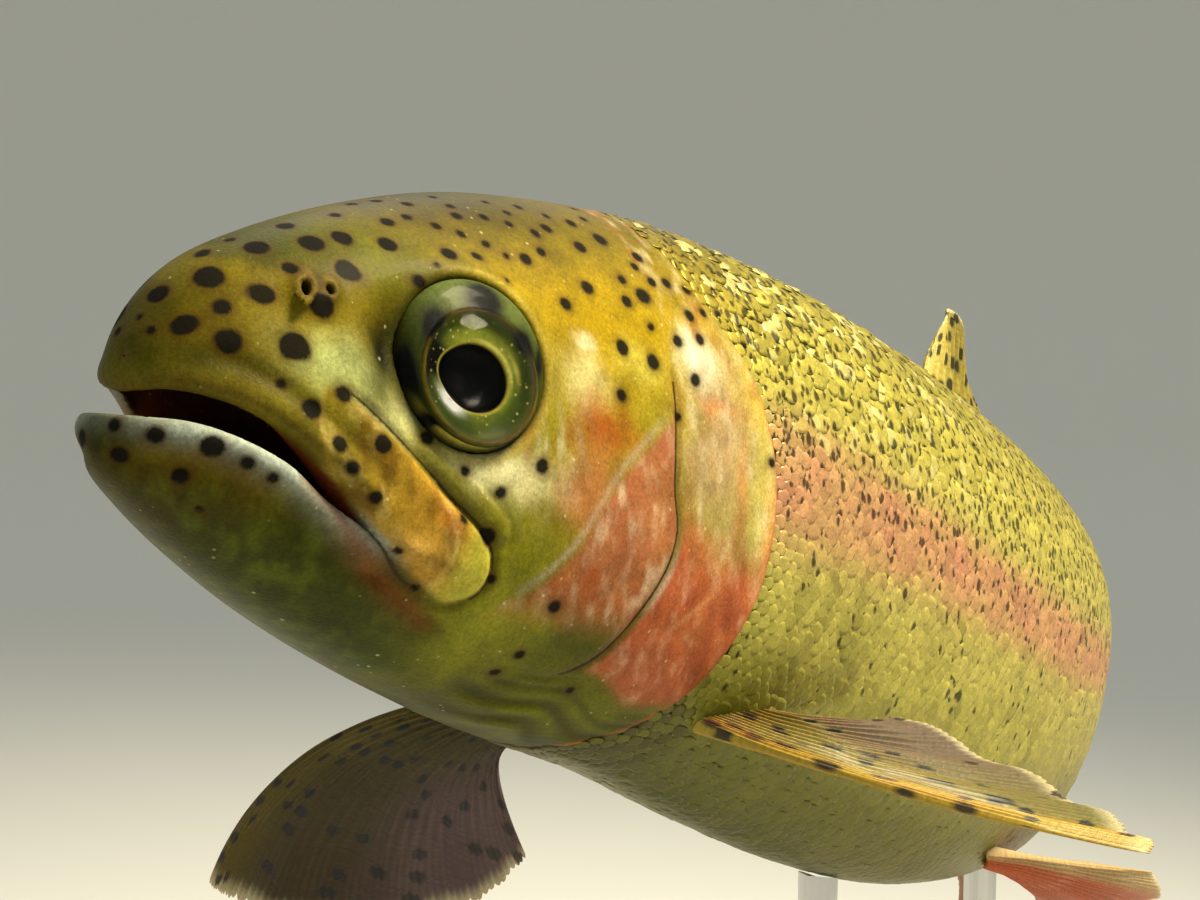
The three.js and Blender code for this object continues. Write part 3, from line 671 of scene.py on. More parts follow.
def skin_colour(u, v, w):
    """The colour of the fish at points of its straight form."""
    back, belly, _, _ = upper_outline.at(np.maximum(u, 15))
    height = np.clip((w - belly) / (back - belly), 0, 1)
    lines = lines_at(u, w)
    maxilla, slit, gill, foot, ridge_line = (
        lines[name] for name in ("maxilla", "slit", "gill", "foot", "preopercle"))
    broad, fine, strands = mottle(u, v, w, 4.0), strokes(u, v, w, 1.5, 7), strokes(u, v, w, 2.6, 13)
    trunk = ramp(62, 90, u)[..., None]
    colour = gradient(GROUND, height) * (1 - trunk) + gradient(FLANK, height) * trunk
    on_head = ramp(-1.0, 0.3, gill)
    for code, at_u, at_w, reach_u, reach_w, strength in WASHES:
        off_u = (u - at_u + 3.2 * (broad - 0.5)) / reach_u
        off_w = (w - at_w + 3.2 * (strands - 0.5)) / reach_w
        amount = strength * np.exp(-((off_u**2 + off_w**2) ** 1.3))
        colour = wash(colour, code, amount * on_head if at_u > 65 else amount)

    dusky = ramp(0.5, 0.95, mottle(u, 0 * v, 0.3 * w, 2.4, 5)) * ramp(84, 92, u) * (1 - ramp(150, 220, u))
    off_band = np.abs(w - np.interp(u, BAND_U, BAND_MIDDLE)) / np.interp(u, BAND_U, BAND_HALF)
    band = np.exp(-(off_band**3)) * ramp(80, 88, u) * (1 - 0.45 * ramp(190, 340, u))
    before_slit = ramp(0.2, 1.6, -ridge_line) * ramp(-0.1, 0.4, slit) * ramp(-18.5, -13, w)
    before_slit = before_slit * (1 - ramp(5, 10, w))
    behind_slit = ramp(0.4, 1.4, -slit) * ramp(0, 1, gill) * ramp(0.5, 2.5, -foot) * (u > 58)
    low = 1 - ramp(-8.5, -1.0, w + 0.25 * (u - 74) + 5 * (broad - 0.5))
    low_cover = behind_slit * low
    silver = behind_slit * (1 - low) + before_slit
    silver = np.clip(silver + near(w, 0, 6) * ramp(32, 38, u) * (1 - ramp(43, 51, u)), 0, 1)
    pale_streak = near(w + 14.5 - 0.9 * (u - 69), 0, 0.7) * near(u, 71.5, 3.5)
    jaw = ramp(0.4, 1.6, lip_gap_at(u) - w) * (1 - ramp(34, 46, u - 0.4 * (w + 18)))
    over, under = w - lip_above(u), lip_below(u) - w
    before_corner = 1 - ramp(20, 26, u)
    plate = ramp(-0.1, 0.6, maxilla)
    under_maxilla = ramp(0, 2.5, -9.0 - 0.55 * (u - 20) - w) * (u > 14) * (u < 42)
    on_slit = ramp(-24, -17, w) * (1 - ramp(11, 14, w))
    slit_highlight = near(u, 63.2, 2) * near(w, -9, 3.4) * near(slit, -0.9, 0.5)
    on_ridge = ramp(-20, -14, w) * (1 - ramp(5, 9, w))
    layers = [
        ("#646022", 0.4 * dusky * (1 - ramp(4, 10, w))),  # dusky streaks on the flank
        ("#c68b6c", band * (0.66 + 0.4 * broad) * (0.75 + 0.4 * fine)),  # the pink band
        ("#9c5e3c", before_slit * (0.72 + 0.35 * broad)),  # rusty plate ahead of the slit
        ("#8c4a1c", 0.6 * before_slit * (1 - ramp(-15, -6, w)) * (0.4 + strands)),
        ("#a85634", low_cover * (0.75 + 0.35 * strands)),  # red lower half of the gill cover
        ("#743616", 0.55 * low_cover * ramp(0.5, 0.9, strands)),
        ("#d8a884", 0.5 * low_cover * ramp(0.5, 0.95, fine)),
        ("#e4d8b4", 0.46 * silver * ramp(0.4, 1.0, fine)),  # silver and rust over both
        ("#984420", 0.5 * silver * ramp(0.5, 0.9, strands)),
        ("#c98a5a", 0.6 * behind_slit * pale_streak),
        ("#2e360a", 0.85 * jaw),  # jaw painted dark green as painted shade under the head, brown at its tip
        ("#302a06", 0.8 * jaw * np.exp(-((u / 14) ** 2)) * ramp(-24, -14, w)),
        ("#5e6a12", 0.4 * jaw * ramp(0.35, 0.95, fine)),
        ("#38360c", 0.75 * near(over, 3.2, 1.3) * before_corner * ramp(2, 6, u)),  # painted shade in the groove over the lip
        ("#645418", 0.9 * near(over, 0.6, 1.1) * before_corner),  # tan upper lip
        ("#5e4c0c", 0.7 * near(under, 3.0, 2.2) * ramp(0, 4, u) * (1 - ramp(10, 18, u))),
        ("#b2beb2", 0.85 * near(under, 0.6, 1.3) * ramp(-1, 4, u) * (1 - ramp(26, 36, u))),  # pale lower lip, with a painted highlight along its rounded edge
        ("#b88c2c", 0.9 * plate),  # golden maxilla, olive ahead
        ("#6e6818", 0.85 * plate * (1 - ramp(18, 29, u))),
        ("#5a4412", 0.6 * plate * ramp(0.5, 0.85, strands)),
        ("#b45c22", 0.75 * near(u, 31.5, 2.6) * near(w, -9.6 - 0.5 * (u - 31.5), 1.0)),
        ("#5c4410", 0.6 * near(u, 30.3, 1.8) * near(w, -13.4, 1.2)),
        ("#6a4c12", 0.65 * plate * ramp(0.42, 0.85, strands)),
        ("#e0c878", 0.45 * plate * ramp(0.5, 0.9, fine)),
        ("#aeac3c", 0.85 * plate * ramp(31.5, 35.5, u)),  # its yellow green end
        ("#3a2c0c", 0.6 * near(maxilla, -0.35, 0.6) * ramp(15, 20, u)),  # painted shade in the crease round it
        ("#6c6818", 0.7 * ramp(0, 0.8, lines["supra"])),
        ("#6e3c16", 0.75 * near(maxilla, -1.6, 1.3) * under_maxilla),
        ("#6a3a22", 0.5 * on_slit * near(slit, 0, 0.9)),  # painted shade in the slit, and a painted highlight beside it
        ("#e8cfc0", 0.6 * slit_highlight),
        ("#c4b0a4", 0.3 * near(ridge_line, 0, 0.45) * on_ridge),  # the ridge ahead of it
        ("#a04424", 0.7 * near(gill, 0.2, 0.6) * (1 - ramp(12, 22, w))),  # red edge of the cover
    ]
    place = np.stack([u, np.abs(v), w], -1)
    from_eye = np.linalg.norm(place - eye_centre, axis=-1)
    ahead = ramp(-1, 6, eye_centre[0] - u)
    layers += [
        ("#2c2e0a", (0.4 + 0.4 * ahead) * near(from_eye, EYE_RADIUS + 0.2, 1.0)),  # painted shade in the crease round the socket, deeper ahead
        ("#b4a040", 0.6 * (1 - ahead) * near(from_eye, EYE_RADIUS + 0.9, 0.45)),
        ("#241a05", 0.9 * near(np.linalg.norm(place - nostril_middle, axis=-1), 0, 3.0)),
    ]
    for name in NOSTRILS:
        rim, along, across = round_rim(name, place)
        layers.append(("#6c5620", 0.7 * near(rim, 0, 0.25) * ramp(0.0, 0.4, along)))
        # The inside of each hole is painted near black: painted shade.
        layers.append(("#120a04", ramp(0.1, -0.2, across) * near(along, -0.8, 1.2)))
    # Painted shade in the grooves between the rays of the fold.
    folds = on_fold(foot) * ramp(42, 50, u) * (u < 84)
    layers.append(("#2e2c08", folds * (0.4 - 0.4 * np.cos(2 * np.pi * foot / RAY_PITCH))))
    for code, amount in layers:
        colour = wash(colour, code, amount)
    return colour


colours = skin_colour(*skin_points.T)
skin_u, _, skin_w = skin_points.T
inner = ramp(0.9, 2.4, mouth_depth) * (skin_u < 34) * (skin_w < 1.6)
for code, amount in (
    ("#6e3218", inner),  # the mouth's red lining
    # painted shade, darker deeper in the mouth
    ("#2a0e08", 0.85 * inner * ramp(2.5, 8, mouth_depth)),
    ("#5a4018", 0.8 * inner * (1 - ramp(3, 12, skin_u)) * (1 - ramp(6, 11, mouth_depth))),
):
    colours = wash(colours, code, amount)
print("skin colour, mean linear value:", colours.mean(0).round(3))

# %% [markdown]
# ## Spots
# The large spots on a trout's head are as personal as a fingerprint, so they are placed one by one: each is
# given by where the camera sees it, and a ray from the camera finds its place on the skin. The other side
# has the same number a little shifted. Each point then stores its distance to the nearest spot's edge, and
# the material makes that a soft dark disc. The countless small specks of the back are a pattern in the
# material.

# %% Head spots
SPOTS_SNOUT = [  # x, y and radius in the picture
    (157, 294, 13), (139, 317, 6), (151, 330, 6), (208, 276, 14), (222, 307, 9), (184, 324, 13),
    (229, 342, 15), (295, 346, 16), (263, 294, 14), (257, 247, 14), (312, 242, 13), (341, 237, 11),
    (347, 270, 13), (289, 268, 9), (324, 306, 13), (203, 253, 9), (230, 240, 7), (245, 227, 7),
    (271, 217, 6), (294, 210, 5), (286, 226, 9),
]
SPOTS_CROWN = [
    (335, 215, 7), (352, 204, 6), (376, 201, 6), (407, 204, 6), (432, 197, 5), (387, 222, 9), (388, 245, 11),
    (406, 217, 6), (450, 206, 5), (436, 226, 6), (456, 216, 6), (461, 234, 6), (484, 217, 6), (485, 202, 5),
    (486, 244, 6), (476, 256, 7), (450, 254, 9), (437, 265, 4), (506, 256, 5), (526, 259, 8), (541, 252, 7),
    (535, 233, 6), (509, 224, 6), (507, 213, 5), (518, 207, 5), (546, 216, 5), (546, 228, 6), (571, 223, 6),
    (580, 247, 8), (599, 239, 8), (574, 209, 5), (583, 219, 5), (420, 282, 7), (507, 280, 4),
]
SPOTS_NAPE = [
    (588, 288, 8), (565, 304, 8), (637, 257, 7), (635, 267, 6), (652, 282, 7), (622, 280, 6), (666, 283, 7),
    (686, 290, 7), (643, 296, 8), (626, 301, 7), (690, 316, 7), (703, 313, 6), (716, 311, 6), (651, 327, 6),
    (622, 347, 9), (677, 341, 7), (700, 340, 7), (653, 362, 9), (695, 380, 8), (621, 395, 7), (677, 417, 6),
    (740, 333, 6), (772, 463, 6),
]
SPOTS_CHEEK = [
    (312, 409, 12), (344, 394, 10), (281, 384, 6), (340, 444, 8), (384, 444, 10), (354, 467, 8),
    (377, 497, 8), (427, 438, 9), (465, 471, 7), (501, 492, 6),
    (542, 466, 8), (485, 536, 11), (464, 519, 6), (398, 551, 6),
    (490, 579, 6), (415, 587, 5), (555, 607, 8), (520, 655, 7), (495, 672, 6), (570, 690, 6),
]
SPOTS_JAW = [
    (114, 425, 8), (156, 435, 10), (213, 446, 11), (248, 463, 7), (273, 478, 7), (118, 455, 9), (180, 475, 9),
    (199, 509, 4),
]

NO_SPOT = -9.0  # stored where no spot is near
skin_tree = BVHTree.FromPolygons(placed(skin_points).tolist(), skin_faces)


def seen_at(x, y, surface):
    """The point of the straight fish that the camera sees at a pixel, and a pixel's size there in mm."""
    hit, _, _, distance = surface.ray_cast(Vector(CAMERA_PLACE), sight_line(x, y))
    return (None, 0) if hit is None else (unplaced(hit), distance / MM / (PICTURE[0] * LENS / SENSOR))


spot_places = []
for x, y, radius in SPOTS_SNOUT + SPOTS_CROWN + SPOTS_NAPE + SPOTS_CHEEK + SPOTS_JAW:
    point, pixel = seen_at(x, y, skin_tree)
    if point is not None:
        spot_places.append((*point, radius * pixel))
spot_places = np.array(spot_places)
rng = np.random.default_rng(7)
other_side = spot_places[spot_places[:, 1] > 2] * (1, -1, 1, 1)
other_side[:, :3] += rng.normal(0, 1.1, (len(other_side), 3))
other_side[:, 3] *= rng.uniform(0.8, 1.2, len(other_side))
spot_places = np.concatenate([spot_places, other_side])


def spot_depth(points):
    """How far inside the nearest head spot a point lies, in mm; negative outside."""
    best = np.full(len(points), NO_SPOT)
    uneven = 0.72 + 0.56 * mottle(*points.T, 1.9, 3)
    for x, y, z, radius in spot_places:
        close = np.abs(points[:, 0] - x) < 6
        away = np.linalg.norm((points[close] - (x, y, z)) * (0.92, 1, 1.08), axis=1)
        best[close] = np.maximum(best[close], radius - away * uneven[close])
    return best


print("head spots:", len(spot_places), "radii, mm:", spot_places[:, 3].min().round(2), "to",
      spot_places[:, 3].max().round(2))

# %% [markdown]
# ## Attributes that every piece of the fish carries
# A pattern that should follow the body needs coordinates on the body, not in space. `flank` holds the place
# along the fish and round its section in millimetres, `paint` the washed colour, `spot` the distance to a
# head spot and `speck` how densely the small specks stand there. They are stored on the points of the mesh.

# %% Mesh helpers


def round_section(u, v, w):
    """Distance in mm round the section from the middle of the back, about."""
    back, belly, half, widest = upper_outline.at(np.maximum(u, 5))
    return (back - belly + 2 * half) / 4 * np.arctan2(np.abs(v), w - widest)


def speck_share(u, v, w):
    """How many of the possible small specks are there, from 0 to 1."""
    back, belly, _, _ = upper_outline.at(np.maximum(u, 15))
    height = (w - belly) / (back - belly)
    share = 0.14 + 0.8 * ramp(0.46, 0.68, height)
    return share * ramp(0.1, 0.35, height) * ramp(-0.5, 1.5, -distance_to(gill_line, u, w))


ATTRIBUTE_KINDS = {1: ("FLOAT", "value"), 3: ("FLOAT_VECTOR", "vector"), 4: ("FLOAT_COLOR", "color")}


def store(mesh, **attributes):
    """Stores values on the points of a mesh, each under the name that it is given."""
    for label, values in attributes.items():
        values = np.asarray(values, np.float32).reshape(len(mesh.vertices), -1)
        kind, field = ATTRIBUTE_KINDS[values.shape[1]]
        mesh.attributes.new(label, kind, "POINT").data.foreach_set(field, values.ravel())


def on_fish(mesh):
    """An object for a mesh, riding on the one body."""
    piece = bpy.data.objects.new(mesh.name, mesh)
    link(piece)
    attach(piece, "root")
    return piece


def mesh_piece(name, points, faces, material, slot, **attributes):
    """A closed piece of the fish, from points of its straight form, with attributes on them."""
    points = placed(points)
    mesh = bpy.data.meshes.new(name)
    mesh.from_pydata(points.tolist(), [], outward(points, faces))
    store(mesh, **attributes)
    mesh.shade_smooth()
    mesh.materials.append(material)
    return on_fish(mesh)


def outward(points, faces):
    """The faces, turned if the closed surface they make is inside out."""
    fan = np.array([(face[0], face[k], face[k + 1]) for face in faces for k in range(1, len(face) - 1)])
    a, b, c = (points[fan[:, k]] for k in range(3))
    volume = np.einsum("ij,ij->i", a, np.cross(b, c)).sum()
    faces = [tuple(int(i) for i in face) for face in faces]
    return faces if volume > 0 else [face[::-1] for face in faces]


def with_alpha(colour):
    return np.concatenate([colour, np.ones((len(colour), 1))], 1)


def flank_of(points):
    u, v, w = points.T
    return np.stack([u, round_section(u, v, w), np.where(v < 0, 40.0, 0.0)], 1)


print("speck share on the back:", float(speck_share(np.array(120.0), 0, np.array(30.0)).round(2)))

# %% [markdown]
# ## Nodes
# Every material is built from the same small step: add a node, set what is given and link the rest. A value
# that is a socket becomes a link, and any other value is set on the socket itself.

# %% One function that adds a node


def add(tree, kind, settings=None, **inputs):
    """Adds a node; a name like In1 is the input number 1, and underscores stand for spaces."""
    node = tree.nodes.new(kind)
    for key, value in (settings or {}).items():
        setattr(node, key, value)
    for key, value in inputs.items():
        numbered = key[:2] == "In" and key[2:].isdigit()
        socket = node.inputs[int(key[2:]) if numbered else key.replace("_", " ")]
        if isinstance(value, bpy.types.NodeSocket):
            tree.links.new(value, socket)
        else:
            socket.default_value = value
    return node


def new_material(name):
    material = bpy.data.materials.new(name)
    material.use_nodes = True
    material.node_tree.nodes.clear()
    return material, material.node_tree


def math_of(tree, operation, a, b=0.0, c=0.0, clamp=False):
    node = add(tree, "ShaderNodeMath", {"operation": operation, "use_clamp": clamp}, In0=a, In1=b, In2=c)
    return node.outputs[0]


def stored(tree, name, output="Fac"):
    """A value stored on the points."""
    return add(tree, "ShaderNodeAttribute", {"attribute_name": name}).outputs[output]


def surface(tree, **inputs):
    """The shader and the end of the tree."""
    shader = add(tree, "ShaderNodeBsdfPrincipled", **inputs)
    add(tree, "ShaderNodeOutputMaterial", Surface=shader.outputs[0])


def mixed(tree, amount, a, b, blend="MIX"):
    """Mixes two colours."""
    node = add(tree, "ShaderNodeMix", {"data_type": "RGBA", "blend_type": blend}, In0=amount, In6=a, In7=b)
    return node.outputs[2]


def rgba(code):
    return (*linear(code), 1.0)


# %% [markdown]
# ## Living skin
# A fish's skin is pigment and silvery plates under clear slime: the colour is broken into fine grains, and
# the surface is wet. Small glints of pale gold are painted into the colour, as painted highlights. The base
# colour is the stored paint, varied by two sizes of noise; the spots are the stored distance, with a wavering
# edge; a thin clear coat gives the wet gloss. On the skin, thin dark lines of painted shade lie in the slit,
# in the crease round the maxilla and just behind the gill cover's edge. The scales use the same tree with
# more shine, as their silver lies nearer the surface.

# %% Skin and scale materials


def fish_material(name, grain_bump, shine, rough, pale, sheen, coat, body_name):
    """Skin or scale; body_name is the attribute that the noise is laid on, and pale sets how strongly the
    painted glints show.
    """
    material, tree = new_material(name)
    flank, body = stored(tree, "flank", "Vector"), stored(tree, body_name, "Vector")
    paint, spot, share = stored(tree, "paint", "Color"), stored(tree, "spot"), stored(tree, "speck")
    patches = add(tree, "ShaderNodeTexNoise", Vector=body, Scale=0.26, Detail=4.0, Roughness=0.65)
    grains = add(tree, "ShaderNodeTexNoise", Vector=body, Scale=2.4, Detail=2.0, Roughness=0.7)
    glints = add(tree, "ShaderNodeTexVoronoi", Vector=body, Scale=1.35)
    shade = math_of(tree, "MULTIPLY_ADD", patches.outputs["Fac"], 1.3, 0.35)
    shade = math_of(tree, "MULTIPLY", shade, math_of(tree, "MULTIPLY_ADD", grains.outputs["Fac"], 1.1, 0.45))
    colour = mixed(tree, 1.0, paint, shade, "MULTIPLY")
    # Painted glints: one cell in ten has a small pale core, painted into the colour as a highlight.
    pick = add(tree, "ShaderNodeSeparateColor", Color=glints.outputs["Color"])
    glint = math_of(tree, "GREATER_THAN", pick.outputs["Red"], 0.9)
    core = math_of(tree, "MULTIPLY", pick.outputs["Green"], 0.4)
    core = math_of(tree, "SUBTRACT", core, glints.outputs["Distance"])
    glint = math_of(tree, "MULTIPLY", glint, math_of(tree, "MULTIPLY", core, 3.0, clamp=True))
    colour = mixed(tree, math_of(tree, "MULTIPLY", glint, pale), colour, rgba("#f6efb4"))
    # Specks of the back: long ovals, about one to a scale, kept or dropped by a random number of their own.
    wander = add(tree, "ShaderNodeVectorMath", {"operation": "SCALE"}, In0=grains.outputs["Color"], Scale=0.5)
    wander = add(tree, "ShaderNodeVectorMath", {"operation": "ADD"}, In0=flank, In1=wander.outputs[0])
    place = add(tree, "ShaderNodeMapping", Vector=wander.outputs[0], Scale=(0.56, 0.36, 1.0),
                Rotation=(0.0, 0.0, 0.25))
    cells = add(tree, "ShaderNodeTexVoronoi", {"voronoi_dimensions": "2D"}, Vector=place.outputs[0],
                Scale=1.0, Randomness=0.9)
    dice = add(tree, "ShaderNodeSeparateColor", Color=cells.outputs["Color"])
    kept = math_of(tree, "LESS_THAN", dice.outputs["Green"], share)
    size = math_of(tree, "MULTIPLY_ADD", dice.outputs["Blue"], 0.18, 0.24)
    speck = math_of(tree, "SUBTRACT", size, cells.outputs["Distance"])
    speck = math_of(tree, "MULTIPLY", math_of(tree, "MULTIPLY", speck, 6.0, clamp=True), kept)
    # Head spots, with a wavering edge and a brown halo.
    waver = math_of(tree, "MULTIPLY_ADD", grains.outputs["Fac"], 0.5, -0.25)
    disc = math_of(tree, "MULTIPLY_ADD", math_of(tree, "ADD", spot, waver), 2.6, 0.45, clamp=True)
    disc = math_of(tree, "MULTIPLY", disc, 0.96)
    dark = math_of(tree, "MAXIMUM", math_of(tree, "MULTIPLY", speck, 0.84), disc)
    halo = math_of(tree, "MULTIPLY_ADD", spot, 0.9, 0.8, clamp=True)
    colour = mixed(tree, math_of(tree, "MULTIPLY", halo, 0.6), colour, rgba("#4a3006"))
    colour = mixed(tree, dark, colour, rgba("#07090c"))
    height = math_of(tree, "MULTIPLY_ADD", grains.outputs["Fac"], 0.5, math_of(tree, "MULTIPLY", glint, 0.3))
    bump = add(tree, "ShaderNodeBump", Strength=grain_bump, Distance=0.0002, Height=height)
    if body_name == "body":
        # Painted shade: dark lines in the slit, in the crease round the maxilla and just behind the gill
        # cover's edge.
        seams = add(tree, "ShaderNodeSeparateXYZ", Vector=stored(tree, "seams", "Vector")).outputs
        for seam, half_width, depth in (("X", 0.3, 0.85), ("Y", 0.2, 0.8), ("Z", 0.25, 0.5)):
            off = math_of(tree, "ADD", seams[seam], math_of(tree, "MULTIPLY", waver, 0.6))
            off = math_of(tree, "ABSOLUTE", off)
            line = math_of(tree, "MULTIPLY", math_of(tree, "SUBTRACT", half_width, off), 6.0, clamp=True)
            colour = mixed(tree, math_of(tree, "MULTIPLY", line, depth), colour, rgba("#1c0f06"))
    gloss = math_of(tree, "MULTIPLY_ADD", patches.outputs["Fac"], 0.22, rough)
    gloss = math_of(tree, "MULTIPLY_ADD", disc, 0.3, gloss)
    surface(tree, Base_Color=colour, Roughness=gloss, Metallic=shine, IOR=1.4, Specular_IOR_Level=sheen,
            Specular_Tint=rgba("#e8d690"), Coat_Weight=coat, Coat_Roughness=0.18, Coat_IOR=1.3,
            Normal=bump.outputs[0])
    return material


skin_material = fish_material("wet trout skin, pigment over silver", grain_bump=0.5, shine=0.0, rough=0.36,
                              pale=0.4, sheen=0.15, coat=0.03, body_name="body")
scale_material = fish_material("trout scales, horn over silver", grain_bump=0.25, shine=0.3, rough=0.3,
                               pale=0.25, sheen=0.4, coat=0.12, body_name="flank")
print("materials:", skin_material.name, "and", scale_material.name)

# %% The skin piece
FLESH = ["head", "lower_jaw", "trunk_front", "trunk_rear", "tail_stalk"]
FLESH += [f"{plate}_{side}" for plate in ("maxilla", "gill_cover") for side in ("left", "right")]


def shade_lines_at(points):
    """Distances in mm to the lines of painted shade: the slit, the edge of the maxilla and the edge of the
    gill cover.
    """
    u, w = points[:, 0], points[:, 2]
    lines = lines_at(u, w)
    slit = np.where((w > -22) & (w < 12) & (mouth_depth < 1), lines["slit"], 9)
    plate = np.where((u > 17.5) & (w > -16.2), lines["maxilla"] + 0.3, 9)
    return np.stack([slit, plate, np.where(w < 22, lines["gill"] + 0.5, 9)], 1)


skin_spots = np.where(mouth_depth > 1.5, NO_SPOT, spot_depth(skin_points))
skin = mesh_piece(
    "trout_skin", skin_points, skin_faces, skin_material, "skin",
    paint=with_alpha(colours), spot=skin_spots, flank=flank_of(skin_points),
    speck=speck_share(*skin_points.T) * (mouth_depth < 1), body=skin_points, seams=shade_lines_at(skin_points),
)
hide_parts(*FLESH)
print("skin:", len(skin.data.polygons), "faces")

# %% [markdown]
# ## Eyes
# A fish's eye is a ball with a dark, fleshy ring, a narrow gilt rim, an iris like a shallow bowl, a pupil
# that runs to a point in front, and a clear cornea over it. It has no lids. A lathe would make it round, so
# the rings are built here one by one, and the pupil's ring alone is drawn out forwards. The colours are
# washes on the points again, and the cornea is a thin shell of clear resin, which gives the window-like
# highlight.

# %% Eye shape
IRIS_RADIUS = 6.5
IRIS_DROP = 1.5  # the iris sits a little low in the ball
EYE_PROFILE = [  # distance from the axis and height along it, in mm, from the pupil's rim outwards
    (3.3, 0.55), (3.6, 0.95), (4.2, 1.02), (5.0, 1.15), (5.8, 1.4), (6.3, 1.7), (6.5, 1.84), (6.7, 1.88),
    (6.9, 1.84), (7.2, 1.7), (7.7, 1.36), (8.2, 0.85), (8.6, 0.3), (8.75, -0.3), (8.6, -1.3), (8.0, -2.6),
    (6.0, -4.2), (3.0, -5.0),
]
PUPIL_FLOOR = -0.9
CORNEA_PROFILE = [(6.95, 1.9), (6.3, 2.4), (5.2, 2.9), (3.8, 3.26), (2.0, 3.48), (0.6, 3.54)]
EYE_SIDES = 96
EYE_STOPS = [  # distance from the axis, colour
    (0, "#010101"), (3.4, "#020202"), (3.55, "#a89c34"), (3.85, "#5c6c18"), (4.6, "#3a4c0a"),
    (5.6, "#2c3a08"), (6.15, "#3c480c"), (6.5, "#5c4c12"), (6.8, "#4a4410"), (7.1, "#283006"),
    (7.9, "#2e380a"), (8.8, "#34340c"),
]
EYE_BLOTCHES = [  # angle from forwards, width in angle, distance from the axis
    (1.6, 0.27, 7.5), (2.42, 0.2, 6.7), (2.85, 0.12, 7.7), (0.62, 0.24, 7.0), (-0.26, 0.3, 8.1),
    (-2.3, 0.3, 8.0), (-0.9, 0.12, 8.1),
]


def turn_from(angles, at):
    """Angles measured from `at`, between minus and plus half a turn."""
    return np.angle(np.exp(1j * (angles - at)))


def eye_frame(side):
    """Centre, axis and two directions across it: forwards and upwards."""
    flip = np.array([1, side, 1])
    axis = eye_axis * flip
    forward = np.array([-1.0, 0, 0])
    forward = unit(forward - axis * (forward @ axis))
    up = np.cross(axis, forward) * side
    return eye_centre * flip, axis, forward, up if up[2] > 0 else -up


def eye_ring(side, radius, height, angles, stretch=0.0, slide=0.0):
    """A ring of the eye; stretch draws it out to a point ahead, and slide lowers it."""
    centre, axis, forward, up = eye_frame(side)
    oval, point = 0.1 * np.cos(angles) ** 2, 0.16 * near(turn_from(angles, 0), 0.12, 0.5)
    reach = radius * (1 + stretch * (oval + point))
    along, across = reach * np.cos(angles), reach * np.sin(angles) - slide
    return centre + np.outer(along, forward) + np.outer(across, up) + axis * height


def ring_faces(n, count):
    """Faces between neighbours of `count` rings with n points each."""
    return [(r * n + k, r * n + (k + 1) % n, (r + 1) * n + (k + 1) % n, (r + 1) * n + k)
            for r in range(count - 1) for k in range(n)]


def closed_rings(rings):
    """Points and faces of a closed surface through rings, each end closed on its middle."""
    n, count = len(rings[0]), len(rings)
    points = np.concatenate([*rings, [rings[0].mean(0)], [rings[-1].mean(0)]])
    faces = ring_faces(n, count)
    last = (count - 1) * n
    ends = [(count * n, (k + 1) % n, k) for k in range(n)]
    ends += [(count * n + 1, last + k, last + (k + 1) % n) for k in range(n)]
    return points, faces + ends


def eye_colour(reach, height, angles):
    """Colour of the eyeball at a distance from the axis and an angle from forwards."""
    iris = (reach > 3.6) & (reach < 6.1)
    ring = (reach > 5.6) & (height > -1)
    up, behind = np.sin(angles), turn_from(angles, 2.3)
    painted_reflection = near(turn_from(angles, -0.82), 0, 0.3) * near(reach, 3.95, 0.5) * (reach > 3.4)
    layers = [
        ("#98a034", iris * 0.6 * ramp(0.1, 0.95, up) * near(reach, 4.4, 0.8)),  # upper iris painted brighter: a painted highlight
        ("#e6dc74", 0.9 * near(behind, 0, 0.75) * near(reach, 3.85, 0.22)),  # gilt behind the pupil
        ("#cfc85a", 0.7 * near(behind, 0.5, 0.3) * near(reach, 4.7, 0.3)),
        ("#5e6a34", 0.9 * ramp(0.2, 0.95, up) * ramp(6.9, 7.4, reach)),  # upper and lower ring
        ("#c9b64a", 0.7 * ramp(0.4, 1, -up) * near(reach, 8.1, 0.3)),
        ("#74782c", iris * 0.3 * near(np.sin(angles * 3.0 + 0.7), 1, 0.35)),
        ("#0c0a04", 1.5 * iris * near(turn_from(angles, 0.2), 0, 0.42)),  # dark patch ahead of the pupil
        ("#ffffff", 2.2 * painted_reflection),  # painted reflection: a white crescent below it
    ]
    layers += [("#0a0c0c", 2 * ring * near(turn_from(angles, at), 0, width) * near(reach, out, 0.75))
               for at, width, out in EYE_BLOTCHES]
    colour = gradient(EYE_STOPS, reach)
    for code, amount in layers:
        colour = wash(colour, code, amount)
    return colour


eye_material, tree = new_material("painted glass eye, gilt and olive")
place = stored(tree, "flank", "Vector")
fibre = add(tree, "ShaderNodeTexNoise", Vector=place, Scale=1.6, Detail=5.0, Roughness=0.75)
shade = math_of(tree, "MULTIPLY_ADD", fibre.outputs["Fac"], 1.5, 0.3)
eye_colours = mixed(tree, 1.0, stored(tree, "paint", "Color"), shade, "MULTIPLY")
gilt = add(tree, "ShaderNodeTexVoronoi", Vector=place, Scale=2.2)
dice = add(tree, "ShaderNodeSeparateColor", Color=gilt.outputs["Color"])
kept = math_of(tree, "GREATER_THAN", dice.outputs["Red"], 0.8)
core = math_of(tree, "MULTIPLY", math_of(tree, "SUBTRACT", 0.4, gilt.outputs["Distance"]), 3.0, clamp=True)
flecks = math_of(tree, "MULTIPLY", math_of(tree, "MULTIPLY", kept, core), stored(tree, "speck"))
eye_colours = mixed(tree, flecks, eye_colours, rgba("#d9cf6e"))
bump = add(tree, "ShaderNodeBump", Strength=0.3, Distance=0.0002, Height=fibre.outputs["Fac"])
surface(tree, Base_Color=eye_colours, Roughness=0.45, IOR=1.4, Specular_IOR_Level=0.06, Coat_Weight=0.05,
        Coat_Roughness=0.1, Normal=bump.outputs[0])

cornea_material, tree = new_material("clear resin cornea")
surface(tree, Base_Color=rgba("#ffffff"), Roughness=0.0, IOR=1.1, Transmission_Weight=1.0)

